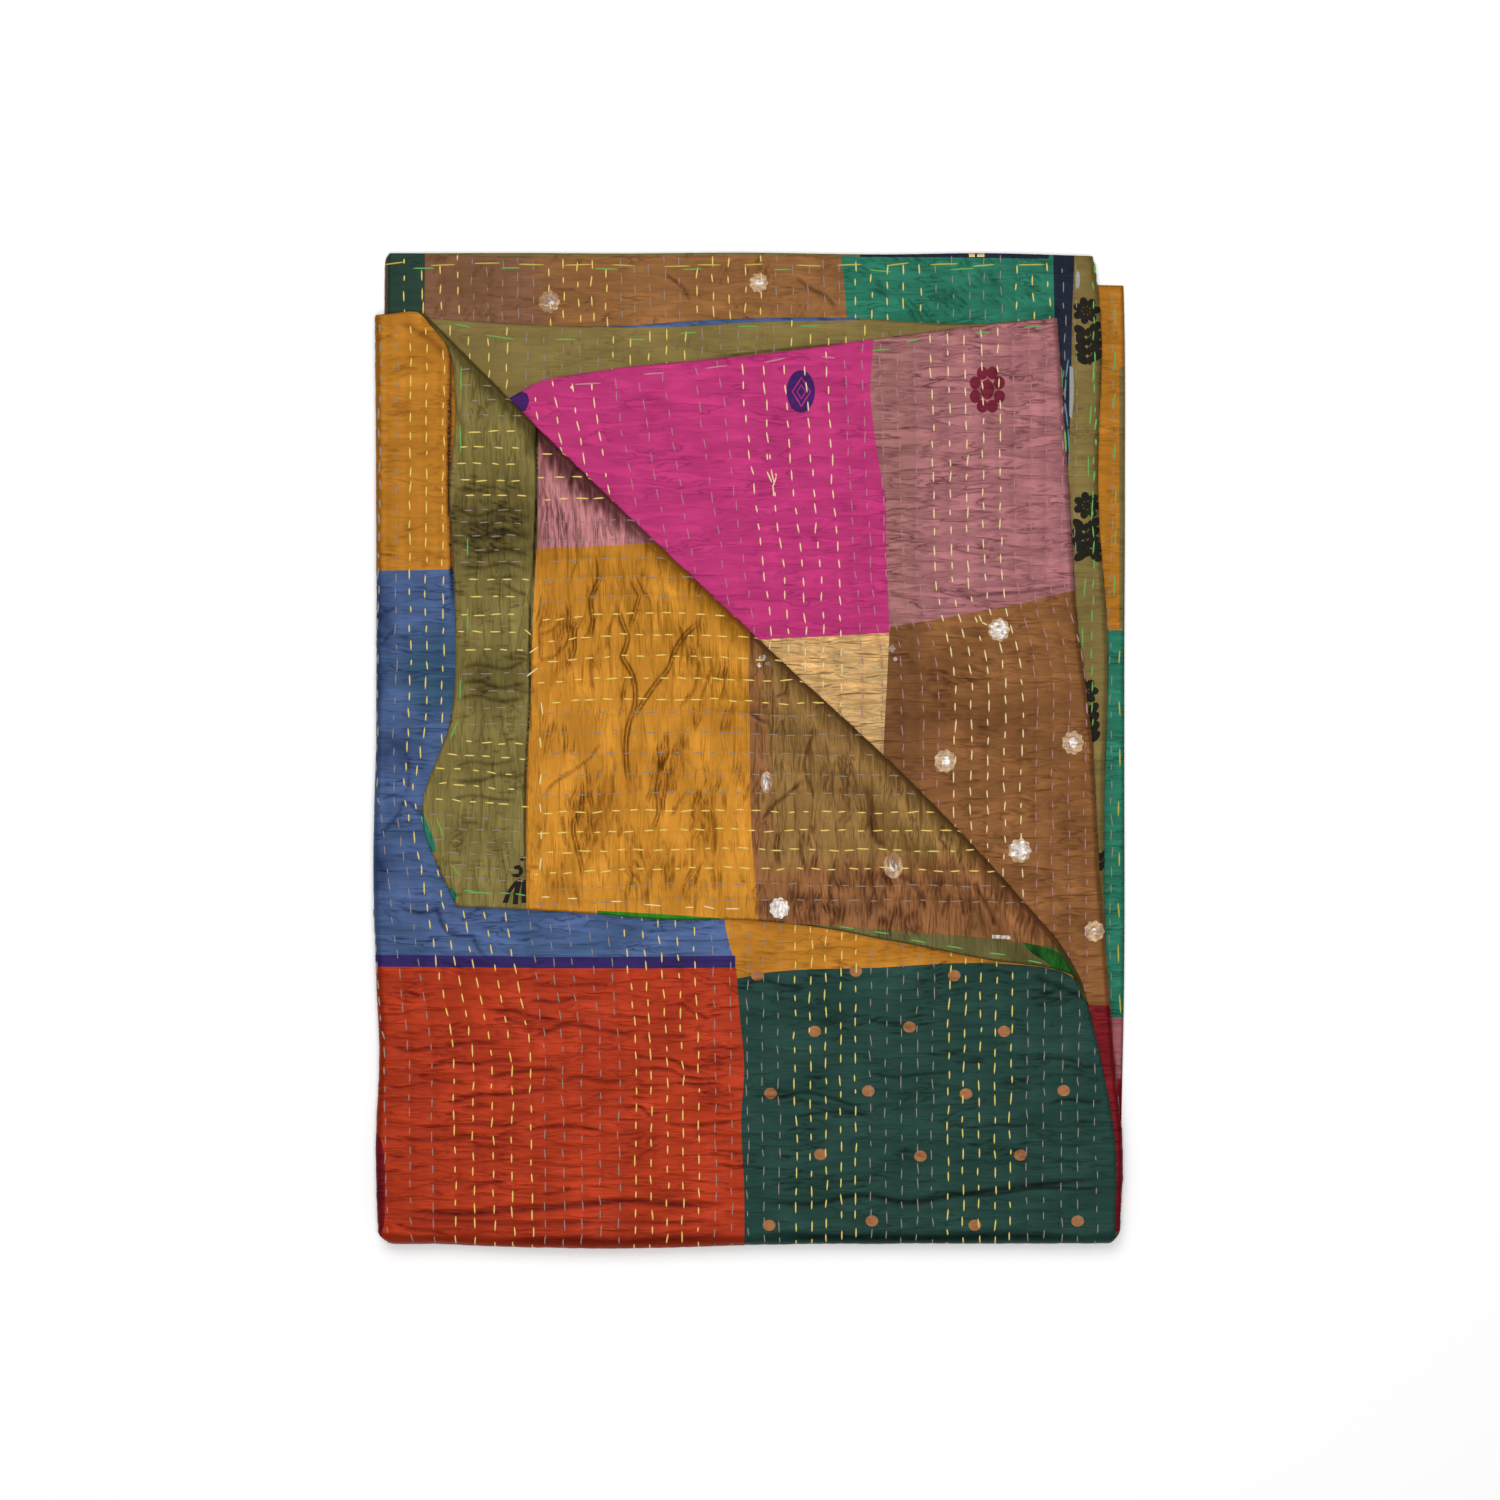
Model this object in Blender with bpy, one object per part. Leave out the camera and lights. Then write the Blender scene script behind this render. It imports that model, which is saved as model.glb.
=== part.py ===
"""A kantha quilt, folded in thirds across and then in half lengthways, with one corner turned back.

Metres, +Z up. The quilt lies flat, face up, with its length along Y and its bottom fold at -Y. It is
one sheet of cloth, described by two coordinates. The strip coordinate runs across the cloth: top
layer, left fold, middle layer, right fold, inner layer. The run coordinate runs along it: the upper
half, the bottom fold, and the lower half that lies underneath. fold_cloth() gives the place in space
of each pair, and the solid is that surface with the cloth's thickness.
"""

import math
from collections import namedtuple

import bmesh
import bpy
import numpy as np
from mathutils import Vector
from mathutils.geometry import delaunay_2d_cdt
from mathutils.kdtree import KDTree

# The cloth, and the stack of layers that it makes
CLOTH = 0.0022  # the stitched layers of silk together
GAP = 0.0008  # air between two layers
PITCH = CLOTH + GAP
LEFT_RADIUS = 1.0 * PITCH  # the left fold wraps the inner layer's free edge
RIGHT_RADIUS = 0.5 * PITCH
TOP_RANK = 2.5 * PITCH  # distance of each layer from the middle of the bottom fold
MIDDLE_RANK = 0.5 * PITCH
INNER_RANK = 1.5 * PITCH
FOLD_HEIGHT = CLOTH / 2 + TOP_RANK  # height of the bottom fold's centre line
FOLD_LINE = -0.3310  # where that centre line lies along Y
LEFT_CORNER = 0.0060  # how far the two bottom corners are rounded off
RIGHT_CORNER = 0.0040

# The folds and free edges seen from above, a row for each place along the quilt
Edges = namedtuple("Edges", "along left_fold right_fold right_hem free_end")
UPPER_EDGES = (
    Edges(along=-0.331, left_fold=-0.2534, right_fold=0.2525, right_hem=0.2485, free_end=-0.200),
    Edges(along=-0.272, left_fold=-0.2550, right_fold=0.2543, right_hem=0.2489, free_end=-0.197),
    Edges(along=-0.204, left_fold=-0.2526, right_fold=0.2482, right_hem=0.2375, free_end=-0.192),
    Edges(along=-0.160, left_fold=-0.2545, right_fold=0.2450, right_hem=0.2275, free_end=-0.189),
    Edges(along=-0.080, left_fold=-0.2570, right_fold=0.2385, right_hem=0.2310, free_end=-0.184),
    Edges(along=0.000, left_fold=-0.2550, right_fold=0.2345, right_hem=0.2235, free_end=-0.179),
    Edges(along=0.102, left_fold=-0.2547, right_fold=0.2224, right_hem=0.2085, free_end=-0.174),
    Edges(along=0.204, left_fold=-0.2550, right_fold=0.2162, right_hem=0.2015, free_end=-0.170),
    Edges(along=0.300, left_fold=-0.2557, right_fold=0.2095, right_hem=0.1945, free_end=-0.167),
)
LOWER_EDGES = (
    Edges(along=-0.331, left_fold=-0.2534, right_fold=0.2510, right_hem=0.2530, free_end=-0.200),
    Edges(along=-0.240, left_fold=-0.2515, right_fold=0.2470, right_hem=0.2543, free_end=-0.195),
    Edges(along=-0.170, left_fold=-0.2510, right_fold=0.2440, right_hem=0.2557, free_end=-0.190),
    Edges(along=-0.010, left_fold=-0.2515, right_fold=0.2428, right_hem=0.2560, free_end=-0.180),
    Edges(along=0.060, left_fold=-0.2510, right_fold=0.2448, right_hem=0.2560, free_end=-0.176),
    Edges(along=0.170, left_fold=-0.2503, right_fold=0.2380, right_hem=0.2564, free_end=-0.172),
    Edges(along=0.320, left_fold=-0.2503, right_fold=0.2373, right_hem=0.2553, free_end=-0.170),
    Edges(along=0.340, left_fold=-0.2500, right_fold=0.2340, right_hem=0.2545, free_end=-0.170),
)

# The hems, and the bottom fold's outer edge, a row for each share of the way from left to right
Hems = namedtuple("Hems", "share top middle inner under_top under_middle under_inner bottom")
HEMS = (
    Hems(0.00, 0.2965, 0.2958, 0.2366, 0.3270, 0.3392, 0.3250, -0.3366),
    Hems(0.07, 0.2967, 0.2945, 0.2515, 0.3260, 0.3392, 0.3270, -0.3368),
    Hems(0.12, 0.2815, 0.2930, 0.2550, 0.3256, 0.3393, 0.3278, -0.3380),
    Hems(0.20, 0.2760, 0.2905, 0.2598, 0.3250, 0.3393, 0.3290, -0.3392),
    Hems(0.34, 0.2800, 0.2889, 0.2650, 0.3240, 0.3390, 0.3310, -0.3398),
    Hems(0.50, 0.2760, 0.2935, 0.2713, 0.3230, 0.3396, 0.3330, -0.3376),
    Hems(0.70, 0.2785, 0.2945, 0.2815, 0.3210, 0.3384, 0.3350, -0.3368),
    Hems(0.86, 0.2980, 0.2905, 0.2890, 0.3190, 0.3392, 0.3370, -0.3368),
    Hems(1.00, 0.2770, 0.2944, 0.2944, 0.3176, 0.3373, 0.3373, -0.3366),
)

# The corner that is turned back over a diagonal, a row for each share of the way down the diagonal
TURN_START = Vector((-0.2162, 0.2917))
TURN_END = Vector((0.2326, -0.1720))
Turn = namedtuple("Turn", "share bow radius settle")
TURN = (
    Turn(share=0.00, bow=0.0000, radius=0.0040, settle=0.080),
    Turn(share=0.25, bow=0.0028, radius=0.0050, settle=0.070),
    Turn(share=0.50, bow=0.0095, radius=0.0055, settle=0.055),
    Turn(share=0.70, bow=0.0160, radius=0.0055, settle=0.045),
    Turn(share=0.85, bow=0.0150, radius=0.0058, settle=0.040),
    Turn(share=0.95, bow=0.0100, radius=0.0060, settle=0.036),
    Turn(share=1.00, bow=0.0000, radius=0.0062, settle=0.035),
)

# How finely the sheet is divided
PANEL_STEPS = 10  # across each layer
LEFT_STEPS = 5  # around each fold
RIGHT_STEPS = 4
BOTTOM_STEPS = 8
RUN_STEPS = 12  # along each half
HEM_STEPS = 26  # along the turned corner's own hems
ROLL_STEPS = 6  # around the diagonal's roll
SETTLE_SHARES = (0.15, 0.35, 0.60, 0.85, 1.00)
LINE_STEPS = 24  # along the diagonal
NUDGE = 1e-5  # the step that slopes are measured over
WELD = 1e-6

SILK = (0.186, 0.082, 0.030, 1.0)


def smooth(rows, column, at):
    """The named column at the places `at`, on a smooth curve through the table's rows."""
    x = np.array([row[0] for row in rows])
    y = np.array([getattr(row, column) for row in rows])
    slope = np.gradient(y, x)
    i = np.clip(np.searchsorted(x, at) - 1, 0, len(x) - 2)
    step = x[i + 1] - x[i]
    t = np.clip((at - x[i]) / step, 0.0, 1.0)
    ends = y[i] * (1 + 2 * t) * (1 - t) ** 2 + y[i + 1] * t * t * (3 - 2 * t)
    return ends + step * t * (1 - t) * (slope[i] * (1 - t) - slope[i + 1] * t)


def edges_at(table, y):
    """Left fold's centre line, right fold's centre line, right hem and free end, at y."""
    left = smooth(table, "left_fold", y) + CLOTH / 2 + LEFT_RADIUS
    right = smooth(table, "right_fold", y) - CLOTH / 2 - RIGHT_RADIUS
    return left, right, smooth(table, "right_hem", y), smooth(table, "free_end", y)


def strip_parts(strip):
    """For each layer and fold, whether a point is in it and its share of the way through."""
    part = np.clip(np.floor(strip), 0, 4)
    return [(part == k, strip - k) for k in range(5)]


def across(strip, edges):
    """X of each strip coordinate between the given edges."""
    left, right, hem, free = edges
    top, turn, middle, back, inner = strip_parts(strip)
    return np.select(
        [top[0], turn[0], middle[0], back[0], inner[0]],
        [
            hem + (left - hem) * top[1],
            left - LEFT_RADIUS * np.sin(math.pi * turn[1]),
            left + (right - left) * middle[1],
            right + RIGHT_RADIUS * np.sin(math.pi * back[1]),
            right + (free - right) * inner[1],
        ],
    )


def rank(strip):
    """How far each strip coordinate lies from the middle of the bottom fold."""
    top, turn, middle, back, inner = strip_parts(strip)
    return np.select(
        [top[0], turn[0], middle[0], back[0], inner[0]],
        [
            TOP_RANK,
            (TOP_RANK + MIDDLE_RANK) / 2 + LEFT_RADIUS * np.cos(math.pi * turn[1]),
            MIDDLE_RANK,
            (MIDDLE_RANK + INNER_RANK) / 2 - RIGHT_RADIUS * np.cos(math.pi * back[1]),
            INNER_RANK,
        ],
    )


def hem(strip, under):
    """Y of the hem that ends the cloth at each strip coordinate."""
    top, turn, middle, back, inner = strip_parts(strip)
    prefix = "under_" if under else ""
    left = [smooth(HEMS, prefix + name, 0.0) for name in ("top", "middle")]
    right = [smooth(HEMS, prefix + name, 1.0) for name in ("middle", "inner")]
    return np.select(
        [top[0], turn[0], middle[0], back[0], inner[0]],
        [
            smooth(HEMS, prefix + "top", 1 - top[1]),
            left[0] + (left[1] - left[0]) * turn[1],
            smooth(HEMS, prefix + "middle", middle[1]),
            right[0] + (right[1] - right[0]) * back[1],
            smooth(HEMS, prefix + "inner", 1 - inner[1]),
        ],
    )


def fold_line(strip):
    """Y of the bottom fold's centre line at each strip coordinate."""
    x = across(strip, edges_at(UPPER_EDGES, FOLD_LINE))
    share = np.interp(x, (UPPER_EDGES[0].left_fold, UPPER_EDGES[0].right_fold), (0.0, 1.0))
    return smooth(HEMS, "bottom", share) + TOP_RANK + CLOTH / 2


def diagonal(x, y):
    """How far along the diagonal a point is, and how far past it towards the turned corner."""
    line = TURN_END - TURN_START
    dx, dy = x - TURN_START.x, y - TURN_START.y
    return (dx * line.x + dy * line.y) / line.length, (dy * line.x - dx * line.y) / line.length


def off_diagonal(along, past):
    """The point that is so far along the diagonal and so far past it."""
    line = (TURN_END - TURN_START).normalized()
    x = TURN_START.x + along * line.x - past * line.y
    return x, TURN_START.y + along * line.y + past * line.x


def crease(along):
    """Where the cloth starts to roll, and the roll's radius and settling length."""
    share = along / (TURN_END - TURN_START).length
    radius = smooth(TURN, "radius", share)
    start = smooth(TURN, "bow", share) - radius - CLOTH / 2
    return start, radius, smooth(TURN, "settle", share)


def turn_back(x, y, z):
    """The top layer with its corner rolled up and over the diagonal, and settled on the front."""
    along, past = diagonal(x, y)
    start, radius, settle = crease(along)
    turned = past - start
    angle = np.clip(turned / radius, 0.0, math.pi)
    run = np.maximum(turned - math.pi * radius, 0.0)
    ease = 0.5 - 0.5 * np.cos(math.pi * np.clip(run / settle, 0.0, 1.0))
    lift = radius * (1 - np.cos(angle)) - (2 * radius - PITCH) * ease
    new_x, new_y = off_diagonal(along, start + radius * np.sin(angle) - run)
    over = turned > 0
    return np.where(over, new_x, x), np.where(over, new_y, y), np.where(over, z + lift, z)


def fold_cloth(strip, run):
    """The place in space of each strip and run coordinate, an array of points."""
    line = fold_line(strip)
    angle = math.pi * np.clip(run - 1, 0.0, 1.0)
    upper_y = line + (hem(strip, under=False) - line) * np.clip(1 - run, -0.1, None)
    lower_y = line + (hem(strip, under=True) - line) * np.clip(run - 2, -0.1, None)
    upper_y, lower_y = np.maximum(upper_y, line), np.maximum(lower_y, line)
    swing = 0.5 - 0.5 * np.cos(angle)
    edges = [
        above + (below - above) * swing
        for above, below in zip(edges_at(UPPER_EDGES, upper_y), edges_at(LOWER_EDGES, lower_y))
    ]
    rounding = np.sin(angle) ** 2
    edges[0] = edges[0] + LEFT_CORNER * rounding
    edges[1] = edges[1] - RIGHT_CORNER * rounding
    edges[2] = edges[2] - RIGHT_CORNER * rounding
    x = across(strip, edges)
    y = np.where(run < 1, upper_y, lower_y) - rank(strip) * np.sin(angle)
    z = FOLD_HEIGHT + rank(strip) * np.cos(angle)
    on_top = (strip < 1) & (run < 1)
    turned = turn_back(x, y, z)
    return np.stack([np.where(on_top, new, old) for new, old in zip(turned, (x, y, z))], axis=-1)


def spread(strip, run):
    """X and Y on the top layer's upper half before the corner is turned back."""
    line = fold_line(strip)
    y = line + (hem(strip, under=False) - line) * (1 - run)
    return across(strip, edges_at(UPPER_EDGES, y)), y


def coordinates_of(x, y):
    """The strip and run coordinates of a spread-out point of the top layer's upper half."""
    left, _, right_hem, _ = edges_at(UPPER_EDGES, y)
    strip = np.clip((x - right_hem) / (left - right_hem), 0.0, 1.0)
    line = fold_line(strip)
    end = hem(strip, under=False)
    return strip, np.clip((end - y) / (end - line), 0.0, 1.0)


def grid(strips, runs):
    """Coordinates and faces of a regular grid."""
    strip, run = (a.ravel() for a in np.meshgrid(strips, runs, indexing="ij"))
    across_count, along_count = len(strips), len(runs)
    first = np.arange(across_count * along_count).reshape(across_count, along_count)
    corners = (first[:-1, :-1], first[1:, :-1], first[1:, 1:], first[:-1, 1:])
    return np.stack([strip, run], axis=1), np.stack([c.ravel() for c in corners], axis=1).tolist()


def front_outline():
    """The spread-out border of the top layer's upper half, anticlockwise."""
    low = np.linspace(0, 1, PANEL_STEPS + 1)
    fine = np.linspace(0, 1, HEM_STEPS + 1)
    runs = np.linspace(0, 1, RUN_STEPS + 1)
    strip = np.concatenate([low, np.ones(RUN_STEPS), fine[::-1][1:], np.zeros(HEM_STEPS - 1)])
    run = np.concatenate([np.ones(PANEL_STEPS + 1), runs[::-1][1:], np.zeros(HEM_STEPS), fine[1:-1]])
    return np.stack(spread(strip, run), axis=1)[::-1]


def roll_lines():
    """Lines along the diagonal: around the roll, and down the slope where the corner settles."""
    length = (TURN_END - TURN_START).length
    along = np.linspace(-0.08, 1.08, LINE_STEPS + 1) * length
    start, radius, settle = crease(along)
    turned = [math.pi * radius * k / ROLL_STEPS for k in range(ROLL_STEPS + 1)]
    turned += [math.pi * radius + settle * share for share in SETTLE_SHARES]
    return [np.stack(off_diagonal(along, start + t), axis=1) for t in turned]


def front():
    """Coordinates and faces of the top layer's upper half, divided along the diagonal's roll."""
    outline = front_outline()
    points, lines = [*outline], []
    for line in roll_lines():
        first = len(points)
        points += [*line]
        lines += [(k, k + 1) for k in range(first, first + len(line) - 1)]
    inner = np.linspace(0, 1, PANEL_STEPS + 1)[1:-1]
    strip, run = (a.ravel() for a in np.meshgrid(inner, inner))
    points += [*np.stack(spread(strip, run), axis=1)]
    made = delaunay_2d_cdt(
        [Vector(p) for p in points], lines, [list(range(len(outline)))], 1, WELD
    )
    flat = np.array([tuple(p) for p in made[0]])
    faces = [face for face, source in zip(made[2], made[5]) if source]
    return np.stack(coordinates_of(flat[:, 0], flat[:, 1]), axis=1), faces


def sheet():
    """Coordinates and faces of the whole cloth: the front, and a grid for each other part."""
    panel, half = PANEL_STEPS + 1, RUN_STEPS + 1
    upper, lower = np.linspace(0, 1, half), np.linspace(2, 3, half)
    around = np.linspace(1, 2, BOTTOM_STEPS + 1)
    runs = np.concatenate([upper, around[1:], lower[1:]])
    rest = np.concatenate(
        [
            np.linspace(1, 2, LEFT_STEPS + 1),
            np.linspace(2, 3, panel)[1:],
            np.linspace(3, 4, RIGHT_STEPS + 1)[1:],
            np.linspace(4, 5, panel)[1:],
        ]
    )
    pieces = [front(), grid(np.linspace(0, 1, panel), runs[half - 1 :]), grid(rest, runs)]
    coordinates, faces = [], []
    for points, polygons in pieces:
        start = sum(len(c) for c in coordinates)
        coordinates.append(points)
        faces += [[start + k for k in polygon] for polygon in polygons]
    return np.concatenate(coordinates), faces


def normals(strip, run):
    """The cloth's unit normals, from its slope in both directions."""
    over_strip = fold_cloth(strip + NUDGE, run) - fold_cloth(strip - NUDGE, run)
    over_run = fold_cloth(strip, run + NUDGE) - fold_cloth(strip, run - NUDGE)
    normal = np.cross(over_strip, over_run)
    return normal / np.linalg.norm(normal, axis=1)[:, None]


def silk():
    material = bpy.data.materials.new("silk")
    material.use_nodes = True
    shader = material.node_tree.nodes["Principled BSDF"]
    shader.inputs["Base Color"].default_value = SILK
    shader.inputs["Roughness"].default_value = 0.55
    shader.inputs["Metallic"].default_value = 0.0
    return material


def weld(points, faces):
    """The faces with their shared points made one, and without those that this closes up."""
    tree = KDTree(len(points))
    for k, point in enumerate(points):
        tree.insert(point, k)
    tree.balance()
    same = [min(k for _, k, _ in tree.find_range(point, WELD)) for point in points]
    merged = [list(dict.fromkeys(same[k] for k in face)) for face in faces]
    return [face for face in merged if len(face) > 2]


def open_edges(faces):
    """The directed edges that only one face uses."""
    edges = {edge for face in faces for edge in zip(face, face[1:] + face[:1])}
    return [(a, b) for a, b in edges if (b, a) not in edges]


def quilt():
    """The sheet with its thickness: a face on each side of it, and a rim along the hems."""
    coordinates, faces = sheet()
    strip, run = coordinates.T
    middle = fold_cloth(strip, run)
    half = normals(strip, run) * (CLOTH / 2)
    faces = weld(middle, faces)
    count = len(middle)
    back = [[k + count for k in reversed(face)] for face in faces]
    rim = [(b, a, a + count, b + count) for a, b in sorted(open_edges(faces))]
    mesh = bpy.data.meshes.new("quilt")
    mesh.from_pydata(np.concatenate([middle + half, middle - half]).tolist(), [], faces + back + rim)
    cloth = bmesh.new()
    cloth.from_mesh(mesh)
    bmesh.ops.delete(cloth, geom=[v for v in cloth.verts if not v.link_faces], context="VERTS")
    cloth.to_mesh(mesh)
    cloth.free()
    mesh.shade_smooth()
    mesh.set_sharp_from_angle(angle=math.radians(50))
    mesh.materials.append(silk())
    made = bpy.data.objects.new("quilt", mesh)
    bpy.context.scene.collection.objects.link(made)
    return made


def main():
    for old in list(bpy.data.objects):
        bpy.data.objects.remove(old)
    quilt()


main()
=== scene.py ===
"""The looks of a folded kantha quilt: patched silk, running stitches, puckers and hems.

Metres, +Z up, in the frame of the solid. The cloth is described as in the solid: a strip coordinate
across it and a run coordinate along it. Each visible face of the folded cloth has flat coordinates of
its own, p across and q along, in metres. A face is divided into its patches, and each patch becomes a
mesh that follows the folds, with the puckers that the sewing pulls into it.
"""

import math
from collections import namedtuple

import bmesh
import bpy
import numpy as np
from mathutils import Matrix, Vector
from mathutils.geometry import delaunay_2d_cdt
from mathutils.kdtree import KDTree


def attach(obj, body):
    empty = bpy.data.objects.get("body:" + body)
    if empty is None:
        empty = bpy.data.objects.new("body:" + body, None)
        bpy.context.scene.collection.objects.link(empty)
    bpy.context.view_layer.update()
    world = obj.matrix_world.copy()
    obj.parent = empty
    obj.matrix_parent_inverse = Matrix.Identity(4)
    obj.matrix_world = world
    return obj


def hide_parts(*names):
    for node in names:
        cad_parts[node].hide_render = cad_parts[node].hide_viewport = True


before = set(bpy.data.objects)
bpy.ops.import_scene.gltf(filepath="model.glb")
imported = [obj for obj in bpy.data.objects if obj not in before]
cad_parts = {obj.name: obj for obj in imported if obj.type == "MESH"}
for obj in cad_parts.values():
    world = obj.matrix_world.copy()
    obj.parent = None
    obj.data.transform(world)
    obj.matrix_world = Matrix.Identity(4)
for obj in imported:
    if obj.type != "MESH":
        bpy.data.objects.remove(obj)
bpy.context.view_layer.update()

MM = 0.001

# ---------------------------------------------------------------- the folded cloth, as in the solid
CLOTH = 0.0022
GAP = 0.0008
PITCH = CLOTH + GAP
LEFT_RADIUS = 1.0 * PITCH
RIGHT_RADIUS = 0.5 * PITCH
TOP_RANK = 2.5 * PITCH
MIDDLE_RANK = 0.5 * PITCH
INNER_RANK = 1.5 * PITCH
FOLD_HEIGHT = CLOTH / 2 + TOP_RANK
FOLD_LINE = -0.3310
LEFT_CORNER = 0.0060
RIGHT_CORNER = 0.0040
NUDGE = 1e-5

Edges = namedtuple("Edges", "along left_fold right_fold right_hem free_end")
UPPER_EDGES = (
    Edges(-0.331, -0.2534, 0.2525, 0.2485, -0.200),
    Edges(-0.272, -0.2550, 0.2543, 0.2489, -0.197),
    Edges(-0.204, -0.2526, 0.2482, 0.2375, -0.192),
    Edges(-0.160, -0.2545, 0.2450, 0.2275, -0.189),
    Edges(-0.080, -0.2570, 0.2385, 0.2294, -0.184),
    Edges(-0.050, -0.2565, 0.2370, 0.2258, -0.182),
    Edges(-0.023, -0.2557, 0.2356, 0.2226, -0.180),
    Edges(0.000, -0.2550, 0.2345, 0.2200, -0.179),
    Edges(0.026, -0.2549, 0.2315, 0.2158, -0.178),
    Edges(0.102, -0.2547, 0.2224, 0.2092, -0.174),
    Edges(0.136, -0.2548, 0.2204, 0.2092, -0.173),
    Edges(0.204, -0.2550, 0.2162, 0.2015, -0.170),
    Edges(0.300, -0.2557, 0.2095, 0.1945, -0.167),
)
LOWER_EDGES = (
    Edges(-0.331, -0.2534, 0.2510, 0.2530, -0.200),
    Edges(-0.240, -0.2515, 0.2470, 0.2543, -0.195),
    Edges(-0.170, -0.2510, 0.2440, 0.2557, -0.190),
    Edges(-0.010, -0.2515, 0.2428, 0.2560, -0.180),
    Edges(0.060, -0.2510, 0.2448, 0.2560, -0.176),
    Edges(0.170, -0.2503, 0.2380, 0.2564, -0.172),
    Edges(0.320, -0.2503, 0.2373, 0.2553, -0.170),
    Edges(0.340, -0.2500, 0.2340, 0.2545, -0.170),
)

Hems = namedtuple("Hems", "share top middle inner under_top under_middle under_inner bottom")
HEMS = (
    Hems(0.00, 0.2965, 0.2958, 0.2366, 0.3270, 0.3392, 0.3250, -0.3366),
    Hems(0.07, 0.2967, 0.2945, 0.2515, 0.3260, 0.3392, 0.3270, -0.3368),
    Hems(0.12, 0.2815, 0.2930, 0.2550, 0.3256, 0.3393, 0.3278, -0.3380),
    Hems(0.20, 0.2760, 0.2905, 0.2598, 0.3250, 0.3393, 0.3290, -0.3392),
    Hems(0.34, 0.2800, 0.2889, 0.2650, 0.3240, 0.3390, 0.3310, -0.3398),
    Hems(0.50, 0.2760, 0.2935, 0.2713, 0.3230, 0.3396, 0.3330, -0.3376),
    Hems(0.70, 0.2785, 0.2945, 0.2815, 0.3210, 0.3384, 0.3350, -0.3368),
    Hems(0.86, 0.2980, 0.2905, 0.2890, 0.3190, 0.3392, 0.3370, -0.3368),
    Hems(1.00, 0.2770, 0.2944, 0.2944, 0.3176, 0.3373, 0.3373, -0.3366),
)

TURN_START = Vector((-0.2162, 0.2917))
TURN_END = Vector((0.2326, -0.1720))
Turn = namedtuple("Turn", "share bow radius settle")
TURN = (
    Turn(0.00, 0.0000, 0.0040, 0.080),
    Turn(0.25, 0.0028, 0.0050, 0.070),
    Turn(0.50, 0.0095, 0.0055, 0.055),
    Turn(0.70, 0.0160, 0.0055, 0.045),
    Turn(0.85, 0.0150, 0.0058, 0.040),
    Turn(0.95, 0.0100, 0.0060, 0.036),
    Turn(1.00, 0.0000, 0.0062, 0.035),
)


# The solid's roll is one even turn. Here its edge is tighter, and the cloth swells up behind it.
TIGHT = 0.64
SWELL, SWELL_REACH, SWELL_ENDS = 0.0030, 0.018, 0.070


def smooth(rows, column, at):
    """The named column at the places `at`, on a smooth curve through the table's rows."""
    x = np.array([row[0] for row in rows])
    y = np.array([getattr(row, column) for row in rows])
    slope = np.gradient(y, x)
    i = np.clip(np.searchsorted(x, at) - 1, 0, len(x) - 2)
    step = x[i + 1] - x[i]
    t = np.clip((at - x[i]) / step, 0.0, 1.0)
    ends = y[i] * (1 + 2 * t) * (1 - t) ** 2 + y[i + 1] * t * t * (3 - 2 * t)
    return ends + step * t * (1 - t) * (slope[i] * (1 - t) - slope[i + 1] * t)


def edges_at(table, y):
    """Left fold's centre line, right fold's centre line, right hem and free end, at y."""
    left = smooth(table, "left_fold", y) + CLOTH / 2 + LEFT_RADIUS
    right = smooth(table, "right_fold", y) - CLOTH / 2 - RIGHT_RADIUS
    return left, right, smooth(table, "right_hem", y), smooth(table, "free_end", y)


def strip_parts(strip):
    """For each layer and fold, whether a point is in it and its share of the way through."""
    part = np.clip(np.floor(strip), 0, 4)
    return [(part == k, strip - k) for k in range(5)]


def across(strip, edges):
    """X of each strip coordinate between the given edges."""
    left, right, hem, free = edges
    top, turn, middle, back, inner = strip_parts(strip)
    return np.select(
        [top[0], turn[0], middle[0], back[0], inner[0]],
        [
            hem + (left - hem) * top[1],
            left - LEFT_RADIUS * np.sin(math.pi * turn[1]),
            left + (right - left) * middle[1],
            right + RIGHT_RADIUS * np.sin(math.pi * back[1]),
            right + (free - right) * inner[1],
        ],
    )


def rank(strip):
    """How far each strip coordinate lies from the middle of the bottom fold."""
    top, turn, middle, back, inner = strip_parts(strip)
    return np.select(
        [top[0], turn[0], middle[0], back[0], inner[0]],
        [
            TOP_RANK,
            (TOP_RANK + MIDDLE_RANK) / 2 + LEFT_RADIUS * np.cos(math.pi * turn[1]),
            MIDDLE_RANK,
            (MIDDLE_RANK + INNER_RANK) / 2 - RIGHT_RADIUS * np.cos(math.pi * back[1]),
            INNER_RANK,
        ],
    )


def hem(strip, under):
    """Y of the hem that ends the cloth at each strip coordinate."""
    top, turn, middle, back, inner = strip_parts(strip)
    prefix = "under_" if under else ""
    left = [smooth(HEMS, prefix + name, 0.0) for name in ("top", "middle")]
    right = [smooth(HEMS, prefix + name, 1.0) for name in ("middle", "inner")]
    return np.select(
        [top[0], turn[0], middle[0], back[0], inner[0]],
        [
            smooth(HEMS, prefix + "top", 1 - top[1]),
            left[0] + (left[1] - left[0]) * turn[1],
            smooth(HEMS, prefix + "middle", middle[1]),
            right[0] + (right[1] - right[0]) * back[1],
            smooth(HEMS, prefix + "inner", 1 - inner[1]),
        ],
    )


def fold_line(strip):
    """Y of the bottom fold's centre line at each strip coordinate."""
    x = across(strip, edges_at(UPPER_EDGES, FOLD_LINE))
    share = np.interp(x, (UPPER_EDGES[0].left_fold, UPPER_EDGES[0].right_fold), (0.0, 1.0))
    return smooth(HEMS, "bottom", share) + TOP_RANK + CLOTH / 2


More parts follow.
